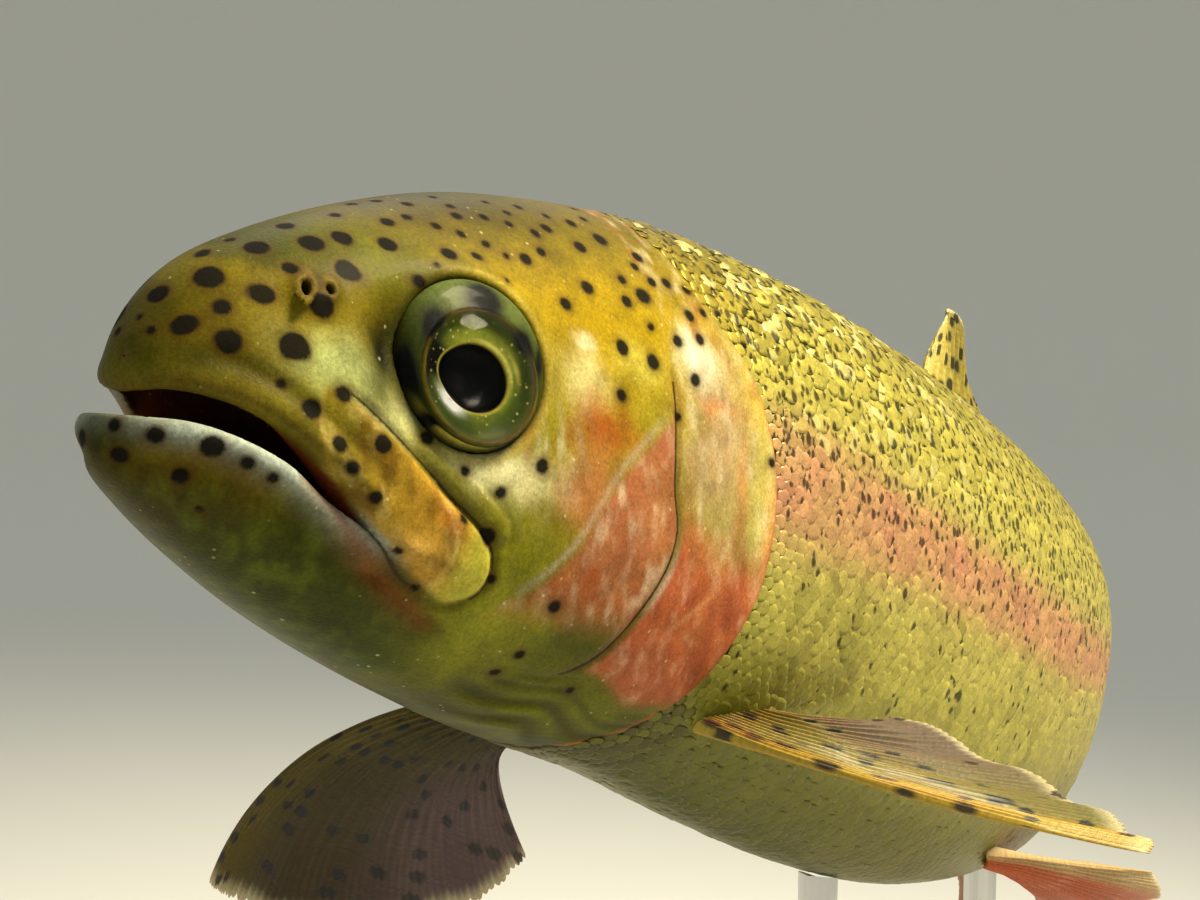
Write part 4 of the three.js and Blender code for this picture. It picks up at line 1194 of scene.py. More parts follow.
angles = 2 * np.pi * np.arange(EYE_SIDES) / EYE_SIDES
profile_curve = smooth_through(np.arange(len(EYE_PROFILE)), [r for r, _ in EYE_PROFILE])
height_curve = smooth_through(np.arange(len(EYE_PROFILE)), [h for _, h in EYE_PROFILE])
steps = np.linspace(0, len(EYE_PROFILE) - 1, 3 * len(EYE_PROFILE))
for side_name, side in (("left", 1), ("right", -1)):
    rings, tints, on_iris = [], [], []
    profile = [(1.2, PUPIL_FLOOR), (3.1, PUPIL_FLOOR + 0.3)]
    profile += [(float(profile_curve(s)), float(height_curve(s))) for s in steps]
    for radius, rise in profile:
        stretch = 1 - float(ramp(3.6, 6.3, radius))
        slide = IRIS_DROP * (1 - float(ramp(6.9, 8.4, radius))) if rise > -2 else 0.0
        rings.append(eye_ring(side, radius, rise, angles, stretch, slide))
        tints.append(eye_colour(np.full(EYE_SIDES, radius), rise, angles))
        on_iris.append(np.full(EYE_SIDES, 1.0 if 3.7 < radius < 6.2 and rise > 0 else 0.0))
    points, faces = closed_rings(rings)
    tints = np.concatenate([*tints, [linear("#050605")], [linear("#303010")]])
    eye = mesh_piece(f"trout_eye_{side_name}", points, faces, eye_material, "eye", paint=with_alpha(tints),
                     flank=points, speck=np.concatenate([*on_iris, [0, 0]]))
    shell = [eye_ring(side, r, h, angles, 0, IRIS_DROP) for r, h in CORNEA_PROFILE[::-1]]
    shell += [eye_ring(side, r - 0.12, h - 0.28, angles, 0, IRIS_DROP) for r, h in CORNEA_PROFILE]
    mesh_piece(f"trout_cornea_{side_name}", *closed_rings(shell), cornea_material, "eye")
    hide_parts(f"eye_{side_name}")
print("eye discs, mm:", 2 * EYE_RADIUS, "iris:", 2 * IRIS_RADIUS)

# %% [markdown]
# ## Scales
# Trout scales are small: about 130 stand in a row from the gill to the tail, in lines that are offset by half
# a scale, each lying over the root of the next like a roof tile. First the root of every scale is worked out
# as a point with its directions; lines end one by one towards the narrow tail, so that scales keep their
# size. A Geometry Nodes tree then puts one modelled scale on every root and makes them real.

# %% Where the scales stand
SCALE_LENGTH, SCALE_WIDTH, SCALE_RISE = 2.6, 2.75, 1.1  # what the modelled scale is multiplied by, mm
SCALE_PITCH = 2.04  # mm along a line
LINE_PITCH = 1.5  # mm between lines
COAT_START = 60
SECTION_STEPS = 160

theta = np.linspace(0, np.pi, SECTION_STEPS)


def section_points(u, inset):
    """One side of the section at u, from the middle of the back to the middle of the belly."""
    back, belly, half, widest = upper_outline.at(u)
    up, out = np.cos(theta), np.sin(theta)
    power = 2 / np.where(up > 0, BACK_POWER, BELLY_POWER)
    reach = np.where(up > 0, back - widest, widest - belly) - inset
    return out**power * (half - inset), widest + np.sign(up) * np.abs(up) ** power * reach


column_u = np.arange(COAT_START, BODY_END, 2.0)
columns = [section_points(u, COAT_DEPTH) for u in column_u]
arcs = [np.concatenate([[0], np.cumsum(np.hypot(np.diff(v), np.diff(w)))]) for v, w in columns]
half_girth = np.array([arc[-1] for arc in arcs])
line_count = int(half_girth.max() / LINE_PITCH)
keep = np.random.default_rng(3).permutation(line_count)
line_end, line_start = np.zeros(line_count), np.full(line_count, float(BODY_END))
lines_left = half_girth / LINE_PITCH
for rank, line in enumerate(keep):
    still = np.nonzero(lines_left >= rank + 1)[0]
    if len(still):
        line_start[line], line_end[line] = column_u[still[[0, -1]]]


def line_places(u):
    """Arc places of all lines at u, in shares of the half girth, and which lines stand there."""
    weight = np.clip((line_end - u) / 12, 0, 1) * np.clip((u - line_start + 12) / 12, 0, 1)
    upto = np.cumsum(weight)
    return (upto - weight / 2) / upto[-1], weight > 0.55


roots = []
for index in range(int((BODY_END - COAT_START) / SCALE_PITCH * 2)):
    u = COAT_START + index * SCALE_PITCH / 2
    places, stands = line_places(u)
    chosen = np.nonzero(stands & (np.arange(line_count) % 2 == index % 2))[0]
    v, w = section_points(u, COAT_DEPTH * float(ramp(60, 84, u)))
    length = np.concatenate([[0], np.cumsum(np.hypot(np.diff(v), np.diff(w)))])
    arc = places[chosen] * length[-1]
    for side in (1, -1):
        roots.append(np.stack([np.full(len(chosen), u), side * np.interp(arc, length, v),
                               np.interp(arc, length, w)], 1))
roots = np.concatenate(roots)
jitter = np.random.default_rng(11)
roots[:, 0] += jitter.uniform(-0.12, 0.12, len(roots))
from_gill = -distance_to(gill_line, roots[:, 0], roots[:, 2])
kept = (from_gill > -1.1) & (roots[:, 0] < BODY_END - 3)
roots, from_gill = roots[kept], from_gill[kept]
print("scales:", len(roots))

# %% Directions and marks of the scales
normal = unit(np.stack([
    body_field(upper_outline, *(roots + step).T) - body_field(upper_outline, *(roots - step).T)
    for step in 0.5 * np.eye(3)
], 1))
tilt = 0.015 + 0.05 * ramp(8, 22, roots[:, 2:]) * (1 - ramp(90, 170, roots[:, :1]))
normal = unit(normal + np.random.default_rng(9).normal(0, 1, normal.shape) * tilt)
rearward = unit(np.array([1.0, 0, 0]) - normal * normal[:, :1])
root_world = placed(roots)
out_world = unit(placed(roots + 0.5 * normal) - root_world)
back_world = placed(roots + 0.5 * rearward) - root_world
back_world = unit(back_world - out_world * (back_world * out_world).sum(1)[:, None])
side_world = np.cross(out_world, back_world)
scale_turn = np.stack([
    np.arctan2(side_world[:, 2], out_world[:, 2]),
    -np.arcsin(np.clip(back_world[:, 2], -1, 1)),
    np.arctan2(back_world[:, 1], back_world[:, 0]),
], 1)
sideways = np.cross(normal, rearward)
small = 0.62 + 0.38 * ramp(-1, 10, from_gill)
small *= 1 - 0.25 * ramp(0.6, 1.0, np.abs(roots[:, 2]) / 46)
past_edge = 4.0 * (1 - ramp(0, 8, from_gill))
colours = skin_colour(roots[:, 0] + past_edge, roots[:, 1], roots[:, 2])
tone = np.random.default_rng(5)
colours *= tone.uniform(0.9, 1.12, (len(roots), 1))
# Painted glints: one scale in five on the back, towards the head, is painted paler as a highlight.
painted_glints = tone.uniform(0, 1, len(roots)) < 0.2
painted_glints = painted_glints * ramp(6, 18, roots[:, 2]) * (1 - ramp(100, 190, roots[:, 0]))
colours = wash(colours, "#efe6a0", 0.42 * painted_glints)
bake_root = np.stack([0.02 + 0.96 * roots[:, 0] / BODY_END,
                      0.5 + np.sign(roots[:, 1]) * 0.48 * round_section(*roots.T) / 130, 0 * small], 1)
print("smallest and largest scale:", small.min().round(2), small.max().round(2))

# %% [markdown]
# ### One scale
# The single scale is a thin shield: rounded behind, cupped a little across, thickest along its middle, and
# rising from the root to its free edge. It has a few dozen faces, as there will be thousands of it.

# %% The shape of one scale
ACROSS, ALONG = 6, 5  # points each way


def scale_surface(s, t, lift):
    """A point of the scale; s runs across from -1 to 1 and t from the root to the free edge."""
    length = 1.45 * t - 0.35
    width = 0.5 * math.sqrt(max(1 - (2 * t - 1) ** 2 * (0.72 if t < 0.5 else 1.0), 0.0)) + 0.02
    cup = 0.07 * (1 - s * s) * math.sin(math.pi * min(t * 1.02, 1.0))
    return length, s * width, 0.02 + 0.15 * t + cup + lift


scale_points, scale_faces = [], []
for lift in (0.0, -0.055):
    for i in range(ALONG):
        for j in range(ACROSS):
            s, t = 2 * j / (ACROSS - 1) - 1, (i / (ALONG - 1)) ** 0.8
            inside = 0 < j < ACROSS - 1 and i < ALONG - 1
            scale_points.append(scale_surface(s, t, lift if inside else lift * 0.6))
sheet = ALONG * ACROSS
for i in range(ALONG - 1):
    for j in range(ACROSS - 1):
        a = i * ACROSS + j
        scale_faces.append((a, a + ACROSS, a + ACROSS + 1, a + 1))
edge = [*range(ACROSS)] + [i * ACROSS + ACROSS - 1 for i in range(1, ALONG)]
edge += [(ALONG - 1) * ACROSS + j for j in range(ACROSS - 2, -1, -1)]
edge += [i * ACROSS for i in range(ALONG - 2, 0, -1)]
under = {a: sheet + n for n, a in enumerate(edge)}
scale_points = scale_points[:sheet] + [scale_points[sheet + a] for a in edge]
centre = len(scale_points)
scale_points.append(tuple(np.mean(scale_points[sheet:], 0)))
for a, b in zip(edge, edge[1:] + edge[:1]):
    scale_faces.append((a, b, under[b], under[a]))
    scale_faces.append((under[a], under[b], centre))
scale_mesh = bpy.data.meshes.new("one_scale")
scale_mesh.from_pydata(scale_points, [], scale_faces)
scale_form = bmesh.new()
scale_form.from_mesh(scale_mesh)
bmesh.ops.recalc_face_normals(scale_form, faces=scale_form.faces)
scale_form.to_mesh(scale_mesh)
scale_form.free()
scale_mesh.shade_smooth()
local = np.array([(x, y, 0) for x, y, _ in scale_points], np.float32)
store(scale_mesh, local=local)
one_scale = bpy.data.objects.new("one_scale", scale_mesh)
triangles_each = sum(len(face.vertices) - 2 for face in scale_mesh.polygons)
print("one scale:", triangles_each, "triangles")

# %% [markdown]
# ### The tree that lays the scales
# Instance on Points copies the scale to each root, turned by the root's stored rotation and sized by its
# stored size. After Realize Instances each vertex still carries the root's values and its own place on the
# scale, so the tree can work out its coordinates on the body and a small patch on the coat's map.

# %% Scale tree
coat_tree = bpy.data.node_groups.new("lay_scales", "GeometryNodeTree")
coat_tree.interface.new_socket("Roots", in_out="INPUT", socket_type="NodeSocketGeometry")
socket_ids = {}
for label, value in (("Scale", None), ("Length", SCALE_LENGTH), ("Width", SCALE_WIDTH),
                     ("Height", SCALE_RISE), ("Uneven", 0.12), ("Patch", 0.003)):
    kind = "NodeSocketObject" if value is None else "NodeSocketFloat"
    socket = coat_tree.interface.new_socket(label, in_out="INPUT", socket_type=kind)
    socket_ids[label] = socket.identifier
    if value is not None:
        socket.default_value = value
coat_tree.interface.new_socket("Coat", in_out="OUTPUT", socket_type="NodeSocketGeometry")
sizes = add(coat_tree, "NodeGroupInput").outputs


def of_root(label, kind="FLOAT_VECTOR"):
    """A value that each root carries."""
    node = add(coat_tree, "GeometryNodeInputNamedAttribute", {"data_type": kind}, Name=label)
    return node.outputs["Attribute"]


def vector_step(operation, a, **inputs):
    return add(coat_tree, "ShaderNodeVectorMath", {"operation": operation}, In0=a, **inputs).outputs[0]


shape = add(coat_tree, "GeometryNodeObjectInfo", Object=sizes["Scale"])
uneven = add(coat_tree, "FunctionNodeRandomValue", {"data_type": "FLOAT"}, In2=-1.0, In3=1.0, Seed=4)
uneven = math_of(coat_tree, "MULTIPLY_ADD", uneven.outputs[1], sizes["Uneven"], 1.0)
grown = math_of(coat_tree, "MULTIPLY", uneven, of_root("small", "FLOAT"))
size_vector = add(coat_tree, "ShaderNodeCombineXYZ", X=sizes["Length"], Y=sizes["Width"], Z=sizes["Height"])
size_metres = vector_step("SCALE", vector_step("SCALE", size_vector.outputs[0], Scale=grown), Scale=MM)
laid = add(coat_tree, "GeometryNodeInstanceOnPoints", Points=sizes["Roots"],
           Instance=shape.outputs["Geometry"], Rotation=of_root("turn"), Scale=size_metres)
real = add(coat_tree, "GeometryNodeRealizeInstances", Geometry=laid.outputs[0])
in_mm = vector_step("MULTIPLY", of_root("local"), In1=(SCALE_LENGTH, SCALE_WIDTH, 0.0))
placed_on = add(coat_tree, "GeometryNodeStoreNamedAttribute",
                {"data_type": "FLOAT_VECTOR", "domain": "POINT"}, Geometry=real.outputs[0], Name="flank",
                Value=vector_step("ADD", in_mm, In1=of_root("place")))
patch = vector_step("SCALE", of_root("local"), Scale=sizes["Patch"])
uv = add(coat_tree, "GeometryNodeStoreNamedAttribute", {"data_type": "FLOAT2", "domain": "CORNER"},
         Geometry=placed_on.outputs[0], Name="OFBake",
         Value=vector_step("ADD", patch, In1=of_root("bake_root")))
finish = add(coat_tree, "GeometryNodeSetMaterial", Geometry=uv.outputs[0], Material=scale_material)
add(coat_tree, "NodeGroupOutput", Coat=finish.outputs[0])
print("tree inputs:", list(socket_ids))

# %% Coat pieces
PIECE_LIMIT = 195000  # triangles
order = np.lexsort((roots[:, 0], roots[:, 1] < 0))
per_piece = PIECE_LIMIT // triangles_each
coat_triangles = 0
for side_name, members in (("left", order[roots[order, 1] >= 0]), ("right", order[roots[order, 1] < 0])):
    for number, chunk in enumerate(np.array_split(members, math.ceil(len(members) / per_piece)), 1):
        name = f"scales_{side_name}_{number}"
        mesh = bpy.data.meshes.new(name + "_roots")
        mesh.from_pydata(root_world[chunk].tolist(), [], [])
        store(mesh, turn=scale_turn[chunk], small=small[chunk], paint=with_alpha(colours[chunk]),
              place=flank_of(roots[chunk]), speck=speck_share(*roots[chunk].T), bake_root=bake_root[chunk])
        holder = bpy.data.objects.new(name + "_roots", mesh)
        link(holder)
        modifier = holder.modifiers.new("lay_scales", "NODES")
        modifier.node_group = coat_tree
        modifier[socket_ids["Scale"]] = one_scale
        evaluated = holder.evaluated_get(bpy.context.evaluated_depsgraph_get())
        coat_mesh = bpy.data.meshes.new_from_object(evaluated)
        bpy.data.objects.remove(holder)
        coat_mesh.name = name
        # Spots are found at each vertex, so that one can run across several scales.
        reach = small[chunk][:, None, None] * local[None] * (SCALE_LENGTH, SCALE_WIDTH, 0)
        spread = roots[chunk][:, None] + reach[..., :1] * rearward[chunk][:, None]
        spread = spread + reach[..., 1:2] * sideways[chunk][:, None]
        store(coat_mesh, spot=spot_depth(spread.reshape(-1, 3)))
        on_fish(coat_mesh)
        coat_triangles += len(chunk) * triangles_each
bpy.data.objects.remove(one_scale)
print("coat triangles:", coat_triangles)

# %% [markdown]
# ## Fins
# A fin is a fan of bony rays, each jointed and forked towards its tip, with a thin film of skin between
# them. Each is built as one closed sheet over a fine grid: one direction runs along the rays, the other
# across them, and the thickness rises over every ray and falls between. Towards the edge each ray splits
# into two and then four, and the film ends a little short of the ray tips, which frays the edge.

# %% Fin forms
FINS = {  # root and tip lines from front to rear, bow of the rays, number of rays
    "dorsal_fin": dict(
        roots=[(160, 0, 31.5), (184, 0, 29.5), (208, 0, 26.5)],
        tips=[(165, -1, 42), (170, -1.5, 50), (176, -1.5, 48.5), (188, -1.5, 36.5), (203, -1, 31.5),
              (217, -1, 28)],
        bow=(0, 0, 1), rays=14),
    "adipose_fin": dict(
        roots=[(296, 0, 15.5), (300, 0, 15), (304, 0, 14.6)],
        tips=[(305, 0, 26.5), (310, 0, 28.5), (313, 0, 25.5)],
        bow=(0, 0, 0.6), rays=0, thick=(1.7, 0.9)),
    "anal_fin": dict(
        roots=[(262, 0, -28.5), (280, 0, -23.5), (297, 0, -19.5)],
        tips=[(268, 0, -38), (281, 0, -60), (290, 0, -62.5), (302, 0, -53), (309, 0, -37)],
        bow=(-1.5, 0, 0), rays=12),
    "caudal_fin": dict(
        roots=[(346, 0, 16.5), (349, 0, 0), (346, 0, -17)],
        tips=[(360, 0, 24), (398, 0, 47), (400, 0, 44), (389, 0, 24), (384, 0, 0), (389, 0, -24),
              (400, 0, -44), (398, 0, -47), (360, 0, -24)],
        bow=(0, 0, 0), rays=24),
    "pectoral_fin_left": dict(
        roots=[(83.5, 13.5, -24.6), (87, 14.5, -23.4), (91, 15, -21.4)],
        tips=[(116, 61, -30.4), (121, 57, -29), (128, 46, -26), (127, 34, -22.5), (119, 24.4, -19)],
        bow=(-1.5, 1, -1.2), rays=13),
    "pectoral_fin_right": dict(
        roots=[(80, -14.5, -25.5), (84.5, -13.5, -27.5), (89, -12, -30)],
        tips=[(84, -60, -58), (92, -60, -61), (104, -50, -62), (113, -38, -57), (113, -27, -48)],
        bow=(-6, -2, 4.5), rays=13),
    "pelvic_fin_left": dict(
        roots=[(182, 13, -37), (186, 12, -38.4), (191, 10, -39.4)],
        tips=[(213, 33, -37), (221, 33, -41), (227, 28, -45), (225, 20, -47), (215, 13, -46)],
        bow=(0, 2, 0), rays=10),
}
FINS["pelvic_fin_right"] = dict(FINS["pelvic_fin_left"])
for key in ("roots", "tips"):
    FINS["pelvic_fin_right"][key] = [(u, -v, w) for u, v, w in FINS["pelvic_fin_left"][key]]
FINS["pelvic_fin_right"]["bow"] = (0, -2, 0)
RAY_STEPS, STEPS_PER_RAY = 64, 12
FILM = 0.16  # half thickness of the film, mm
FRAY = 0.028  # share of a ray's length by which the film's edge is uneven


def curve_through(points, share):
    """Points of a smooth open curve at shares of its parameter."""
    line = rounded(points, steps=24)
    at = np.asarray(share) * (len(line) - 1)
    return np.stack([np.interp(at, np.arange(len(line)), line[:, k]) for k in range(3)], -1)


def ridge(phase):
    """1 over a ray and 0 half way to the next."""
    return 0.5 + 0.5 * np.cos(2 * np.pi * phase)


def fin_sheet(form, seed):
    """Middle points, half thickness and pattern coordinates of a fin."""
    rays = form["rays"]
    count = max(rays, 6) * STEPS_PER_RAY + 1
    s, t = np.meshgrid(np.linspace(0, 1, count), np.linspace(0, 1, RAY_STEPS), indexing="ij")
    phase = s * max(rays, 1)
    fork_one, fork_two = ramp(0.3, 0.5, t), ramp(0.68, 0.84, t)
    over_ray = ridge(phase) * (1 - fork_one) + ridge(2 * phase + 0.5) * fork_one * (1 - fork_two)
    over_ray = over_ray + ridge(4 * phase + 0.5) * fork_two
    wobble = np.random.default_rng(seed).uniform(0, 1, max(rays, 6) * 4 + 3)
    reach = np.interp(phase * 4, np.arange(len(wobble)), wobble)
    stretch = t * (1 - (FRAY if rays else 0) * ramp(0.6, 1, t) * (0.55 * reach + 0.45 * (1 - over_ray)))
    root, tip = curve_through(form["roots"], s[:, 0]), curve_through(form["tips"], s[:, 0])
    along = stretch[..., None]
    middle = root[:, None] * (1 - along) + tip[:, None] * along
    middle = middle + np.array(form["bow"], float) * 4 * along * (1 - along)
    normal = unit(np.cross(np.gradient(middle, axis=0), np.gradient(middle, axis=1)))
    if rays:
        ripple = 0.55 * ramp(0.25, 1, t) * np.sin(phase * 1.9 + seed)
        middle = middle + normal * ripple[..., None]
        thick = FILM + (0.62 - 0.42 * t) * over_ray**1.5 + 0.4 * (1 - ramp(0.0, 0.2, t))
        thick += 0.3 * (1 - t) * near(s, 0.03, 0.035)
    else:
        at_root, at_tip = form["thick"]
        thick = at_root + (at_tip - at_root) * t
    ends = np.minimum(ramp(-0.01, 0.035, s), ramp(0, 0.012, 1 - s))
    thick = thick * (0.15 + 0.85 * ends) * (1 - 0.6 * ramp(0.97, 1, t))
    length = np.linalg.norm(tip - root, axis=1)[:, None] * t
    return middle, normal, thick, phase, length, over_ray, s, t


def closed_sheet(front, back):
    """Points and faces of a closed thin sheet from its two sides."""
    n, m = front.shape[:2]
    points = np.concatenate([front.reshape(-1, 3), back.reshape(-1, 3)])
    index = np.arange(n * m).reshape(n, m)
    a, b, c, d = index[:-1, :-1], index[1:, :-1], index[1:, 1:], index[:-1, 1:]
    faces = np.stack([a, b, c, d], -1).reshape(-1, 4)
    faces = [*faces.tolist(), *(faces[:, ::-1] + n * m).tolist()]
    rim = [*index[:, 0], *index[-1, 1:], *index[-2::-1, -1], *index[0, -2:0:-1]]
    for i, j in zip(rim, rim[1:] + rim[:1]):
        faces.append((int(j), int(i), int(i) + n * m, int(j) + n * m))
    return points, faces


print("fins:", len(FINS))

# %% [markdown]
# ### Colours of the fins
# The fins are amber and dusky, with a yellow leading edge on the pectoral fins and orange red pelvic fins.
# Dark oval spots lie on the film between the rays, in rows. The back and tail fins carry many. The spots come
# from an irregular pattern of cells laid on coordinates that count rays one way and millimetres the other.

# %% Fin paint
PECTORAL_SPOTS = [  # seen places on the left pectoral fin, and radii in the picture
    (712, 723, 4.8), (755, 736, 5.6), (780, 733, 4.8), (785, 746, 5.6), (833, 746, 5.6), (827, 764, 6.4),
    (870, 756, 5.6), (885, 778, 6.4), (940, 781, 7.2), (965, 808, 5.6), (1000, 799, 7.2), (735, 727, 4.0),
    (905, 793, 4.8), (925, 768, 4.8),
]
FIN_COLOURS = {  # root, tip, leading edge, density of spots
    "dorsal_fin": ("#a89a3c", "#8f8440", "#c8b860", 0.85),
    "adipose_fin": ("#9c9238", "#7d7430", "#8d8434", 0.5),
    "anal_fin": ("#a8905a", "#b87a50", "#d8cfa8", 0.0),
    "caudal_fin": ("#a0963c", "#8f8448", "#9c9040", 0.8),
    "pectoral_fin_left": ("#786c22", "#6c6838", "#a08a2c", 0.16),
    # The right pectoral fin is painted far darker than the left one: painted shade, as it lies on the far
    # side below the body.
    "pectoral_fin_right": ("#3c3604", "#2e1c04", "#4e440a", 0.45),
    "pelvic_fin_left": ("#a8501c", "#b04a1c", "#b8a070", 0.0),
    "pelvic_fin_right": ("#a8501c", "#b04a1c", "#b8a070", 0.0),
}

fin_material, tree = new_material("fin film over bony rays")
place = stored(tree, "flank", "Vector")
along_ray = add(tree, "ShaderNodeSeparateXYZ", Vector=place).outputs["Y"]
joints = math_of(tree, "SINE", math_of(tree, "MULTIPLY", along_ray, 5.2))
grain = add(tree, "ShaderNodeTexNoise", Vector=place, Scale=1.7, Detail=3.0).outputs["Fac"]
shade = math_of(tree, "MULTIPLY_ADD", joints, 0.03, math_of(tree, "MULTIPLY_ADD", grain, 0.9, 0.55))
fin_colour = mixed(tree, 1.0, stored(tree, "paint", "Color"), shade, "MULTIPLY")
# Oval specks in rows between the rays, and the larger spots that have places of their own.
cells_at = add(tree, "ShaderNodeMapping", Vector=place, Scale=(0.9, 0.24, 1.0))
cells = add(tree, "ShaderNodeTexVoronoi", {"voronoi_dimensions": "2D"}, Vector=cells_at.outputs[0],
            Scale=1.0, Randomness=0.8)
dice = add(tree, "ShaderNodeSeparateColor", Color=cells.outputs["Color"])
kept = math_of(tree, "LESS_THAN", dice.outputs["Green"], stored(tree, "speck"))
speck = math_of(tree, "MULTIPLY", math_of(tree, "SUBTRACT", 0.33, cells.outputs["Distance"]), 8.0, clamp=True)
disc = math_of(tree, "MULTIPLY_ADD", stored(tree, "spot"), 2.4, 0.4, clamp=True)
dark = math_of(tree, "MAXIMUM", math_of(tree, "MULTIPLY", speck, kept), disc)
fin_colour = mixed(tree, math_of(tree, "MULTIPLY", dark, 0.9), fin_colour, rgba("#15171b"))
bump = add(tree, "ShaderNodeBump", Strength=0.5, Distance=0.0002,
           Height=math_of(tree, "MULTIPLY_ADD", joints, 0.05, grain))
surface(tree, Base_Color=fin_colour, Roughness=0.42, IOR=1.4, Specular_IOR_Level=0.25, Coat_Weight=0.08,
        Coat_Roughness=0.2, Subsurface_Weight=0.25, Subsurface_Scale=0.001, Normal=bump.outputs[0])


def fin_tints(name, s, t, over_ray):
    root, tip, lead, _ = FIN_COLOURS[name]
    tints = gradient([(0, root), (1, tip)], t)
    tints = wash(tints, "#3c3420", 0.4 * (1 - over_ray) * ramp(0.1, 0.5, t))
    tints = wash(tints, lead, 0.95 * (1 - ramp(0.1, 0.34, s)))
    if "pectoral" in name:
        tints = wash(tints, "#5a4650", 0.55 * ramp(0.4, 0.75, s) * ramp(0.2, 0.6, t))
    return wash(tints, "#d8d0a8", 0.5 * ramp(0.93, 1, t))


# %% The fins
for seed, (name, form) in enumerate(FINS.items(), 1):
    middle, normal, thick, phase, length, over_ray, s, t = fin_sheet(form, seed)
    offset = normal * thick[..., None]
    points, faces = closed_sheet(middle + offset, middle - offset)
    tints = fin_tints(name, s, t, over_ray).reshape(-1, 3)
    places = np.stack([phase, length, phase * 0], -1).reshape(-1, 3)
    spots = np.full(len(points), NO_SPOT)
    if name == "pectoral_fin_left":
        fin_surface = BVHTree.FromPolygons(placed(points).tolist(), faces)
        ray = unit(form["tips"][1] - np.array(form["roots"][1]))
        for x, y, radius in PECTORAL_SPOTS:
            point, pixel = seen_at(x, y, fin_surface)
            if point is None:
                continue
            away = points - point
            along = away @ ray
            across = np.sqrt(np.maximum((away**2).sum(1) - along**2, 0))
            spots = np.maximum(spots, radius * pixel - np.hypot(along * 0.42, across * 0.85))
    fin = mesh_piece(f"trout_{name}", points, faces, fin_material, "fin", spot=spots,
                     paint=with_alpha(np.concatenate([tints, tints])), flank=np.concatenate([places, places]),
                     speck=np.full(len(points), FIN_COLOURS[name][3]))
    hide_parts(name)
    print(name, len(faces), "faces")

# %% [markdown]
# ## The stand
# The base is a board of birch with eased edges under satin paint, and the rods are drawn steel, brushed
# along their length. Both are true in the solids already, so they only get their finish.

# %% Stand finishes
paint_material, tree = new_material("satin paint on birch board")
board = add(tree, "ShaderNodeTexCoord").outputs["Object"]
board_mm = add(tree, "ShaderNodeMapping", Vector=board, Scale=(1000.0, 1000.0, 1000.0)).outputs[0]
along_grain = add(tree, "ShaderNodeMapping", Vector=board_mm, Scale=(0.02, 0.5, 0.5)).outputs[0]
grain = add(tree, "ShaderNodeTexNoise", Vector=along_grain, Scale=1.0, Detail=6.0, Roughness=0.6)
brush = add(tree, "ShaderNodeTexNoise", Vector=board_mm, Scale=0.09, Detail=3.0)
brush_shade = math_of(tree, "MULTIPLY_ADD", brush.outputs["Fac"], 0.12, 0.92)
bump = add(tree, "ShaderNodeBump", Strength=0.35, Distance=0.0003, Height=grain.outputs["Fac"])
surface(tree, Base_Color=mixed(tree, 1.0, rgba("#b9b6ad"), brush_shade, "MULTIPLY"), IOR=1.5,
        Roughness=math_of(tree, "MULTIPLY_ADD", grain.outputs["Fac"], 0.2, 0.34), Normal=bump.outputs[0])

steel_material, tree = new_material("brushed steel rod")
rod = add(tree, "ShaderNodeTexCoord").outputs["Object"]
brushed = add(tree, "ShaderNodeMapping", Vector=rod, Scale=(9000.0, 9000.0, 120.0)).outputs[0]
scratches = add(tree, "ShaderNodeTexNoise", Vector=brushed, Scale=1.0, Detail=3.0)
bump = add(tree, "ShaderNodeBump", Strength=0.2, Distance=0.00005, Height=scratches.outputs["Fac"])
surface(tree, Base_Color=rgba("#c8cacc"), Metallic=1.0, Normal=bump.outputs[0],
        Roughness=math_of(tree, "MULTIPLY_ADD", scratches.outputs["Fac"], 0.25, 0.2))

for node, material in (("stand_base", paint_material), ("stand_rod_front", steel_material),
                       ("stand_rod_rear", steel_material)):
    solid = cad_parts[node]
    for place in solid.material_slots:
        place.material = material

# %% [markdown]
# ## Floor and light
# The model stands on a wide pale dish, flat below it and curved up far away, so that no edge shows from any
# side. A large soft lamp above the fish's left rear is the main light, as daylight comes in from above, and
# two weaker ones soften the shadows.

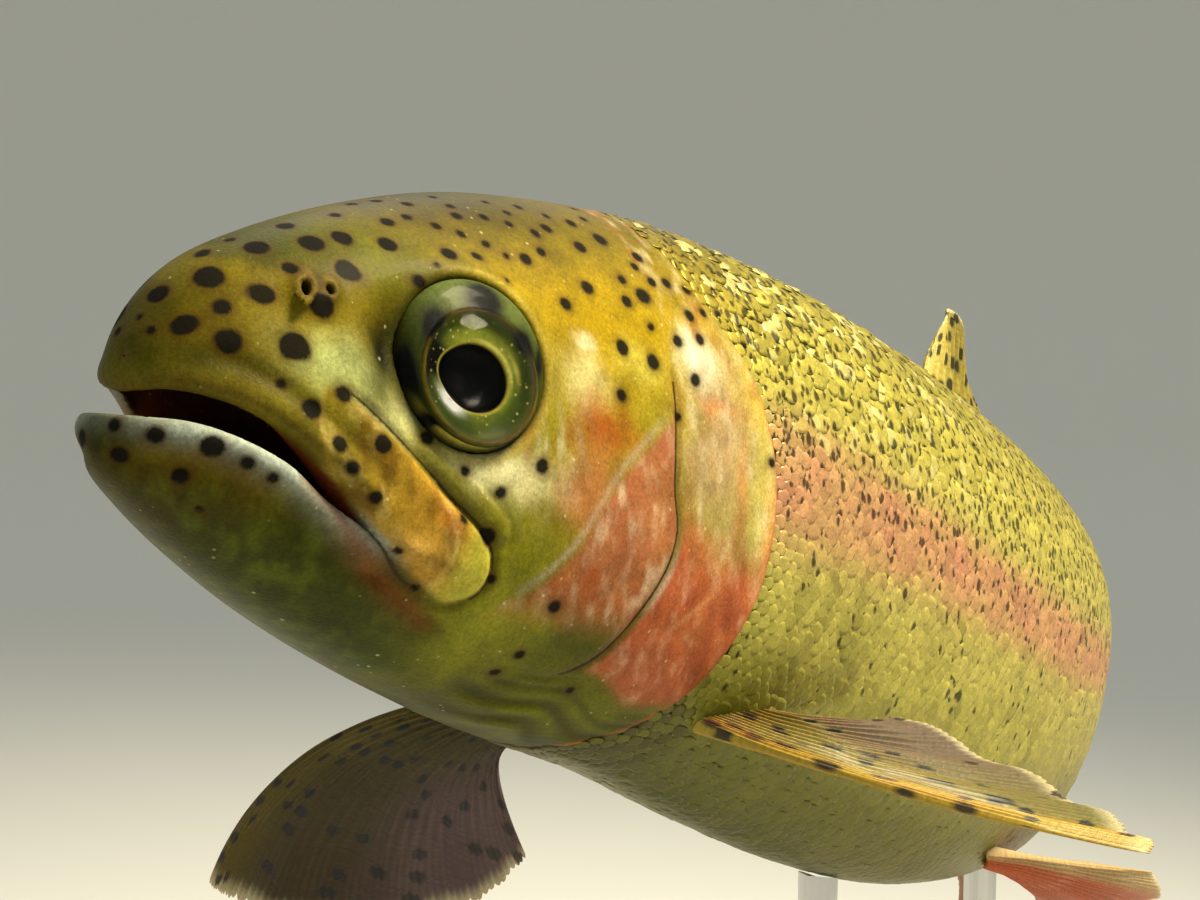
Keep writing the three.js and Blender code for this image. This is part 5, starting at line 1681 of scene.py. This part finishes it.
# %% Floor
DISH_FLAT, DISH_REACH, DISH_HEIGHT = 2.0, 3.6, 2.6
profile = [(0.6, 0), (DISH_FLAT, 0)]
profile += [(DISH_FLAT + (DISH_REACH - DISH_FLAT) * math.sin(a), DISH_HEIGHT * (1 - math.cos(a)))
            for a in np.linspace(0.1, math.pi / 2, 14)]
DISH_SIDES = 96
around = [2 * math.pi * k / DISH_SIDES for k in range(DISH_SIDES)]
dish_points = [(r * math.cos(a), r * math.sin(a), z) for r, z in profile for a in around] + [(0, 0, 0)]
dish_faces = ring_faces(DISH_SIDES, len(profile))
dish_faces += [(len(dish_points) - 1, (k + 1) % DISH_SIDES, k) for k in range(DISH_SIDES)]
paper, tree = new_material("pale matt paper backdrop")
surface(tree, Base_Color=rgba("#e2e2dd"), Roughness=0.9)
dish_mesh = bpy.data.meshes.new("floor")
dish_mesh.from_pydata(dish_points, [], dish_faces)
dish_mesh.shade_smooth()
dish_mesh.materials.append(paper)
dish = bpy.data.objects.new("floor", dish_mesh)
link(dish)
print("floor radius, m:", DISH_REACH)

# %% Lights
fish_middle = Vector((-0.04, 0.02, 0.14))


def soft_lamp(name, place, size, power, cone, tint):
    lamp = bpy.data.lights.new(name, "AREA")
    lamp.spread = math.radians(cone)
    lamp.size = size
    lamp.energy = power
    lamp.color = linear(tint)
    holder = bpy.data.objects.new(name, lamp)
    holder.location = place
    holder.rotation_euler = (fish_middle - Vector(place)).to_track_quat("-Z", "Y").to_euler()
    holder.visible_camera = False
    link(holder)


soft_lamp("key", (0.24, -0.42, 0.9), 0.3, 2.4, 60, "#fff0cc")
soft_lamp("fill", (-0.8, -0.5, 0.35), 0.8, 0.12, 90, "#f2f6ff")
soft_lamp("back", (0.6, 0.45, 0.9), 0.6, 0.3, 60, "#ffffff")
world = bpy.data.worlds.new("studio")
world.use_nodes = True
world.node_tree.nodes["Background"].inputs[0].default_value = rgba("#f3f4ea")
world.node_tree.nodes["Background"].inputs[1].default_value = 0.55
bpy.context.scene.world = world
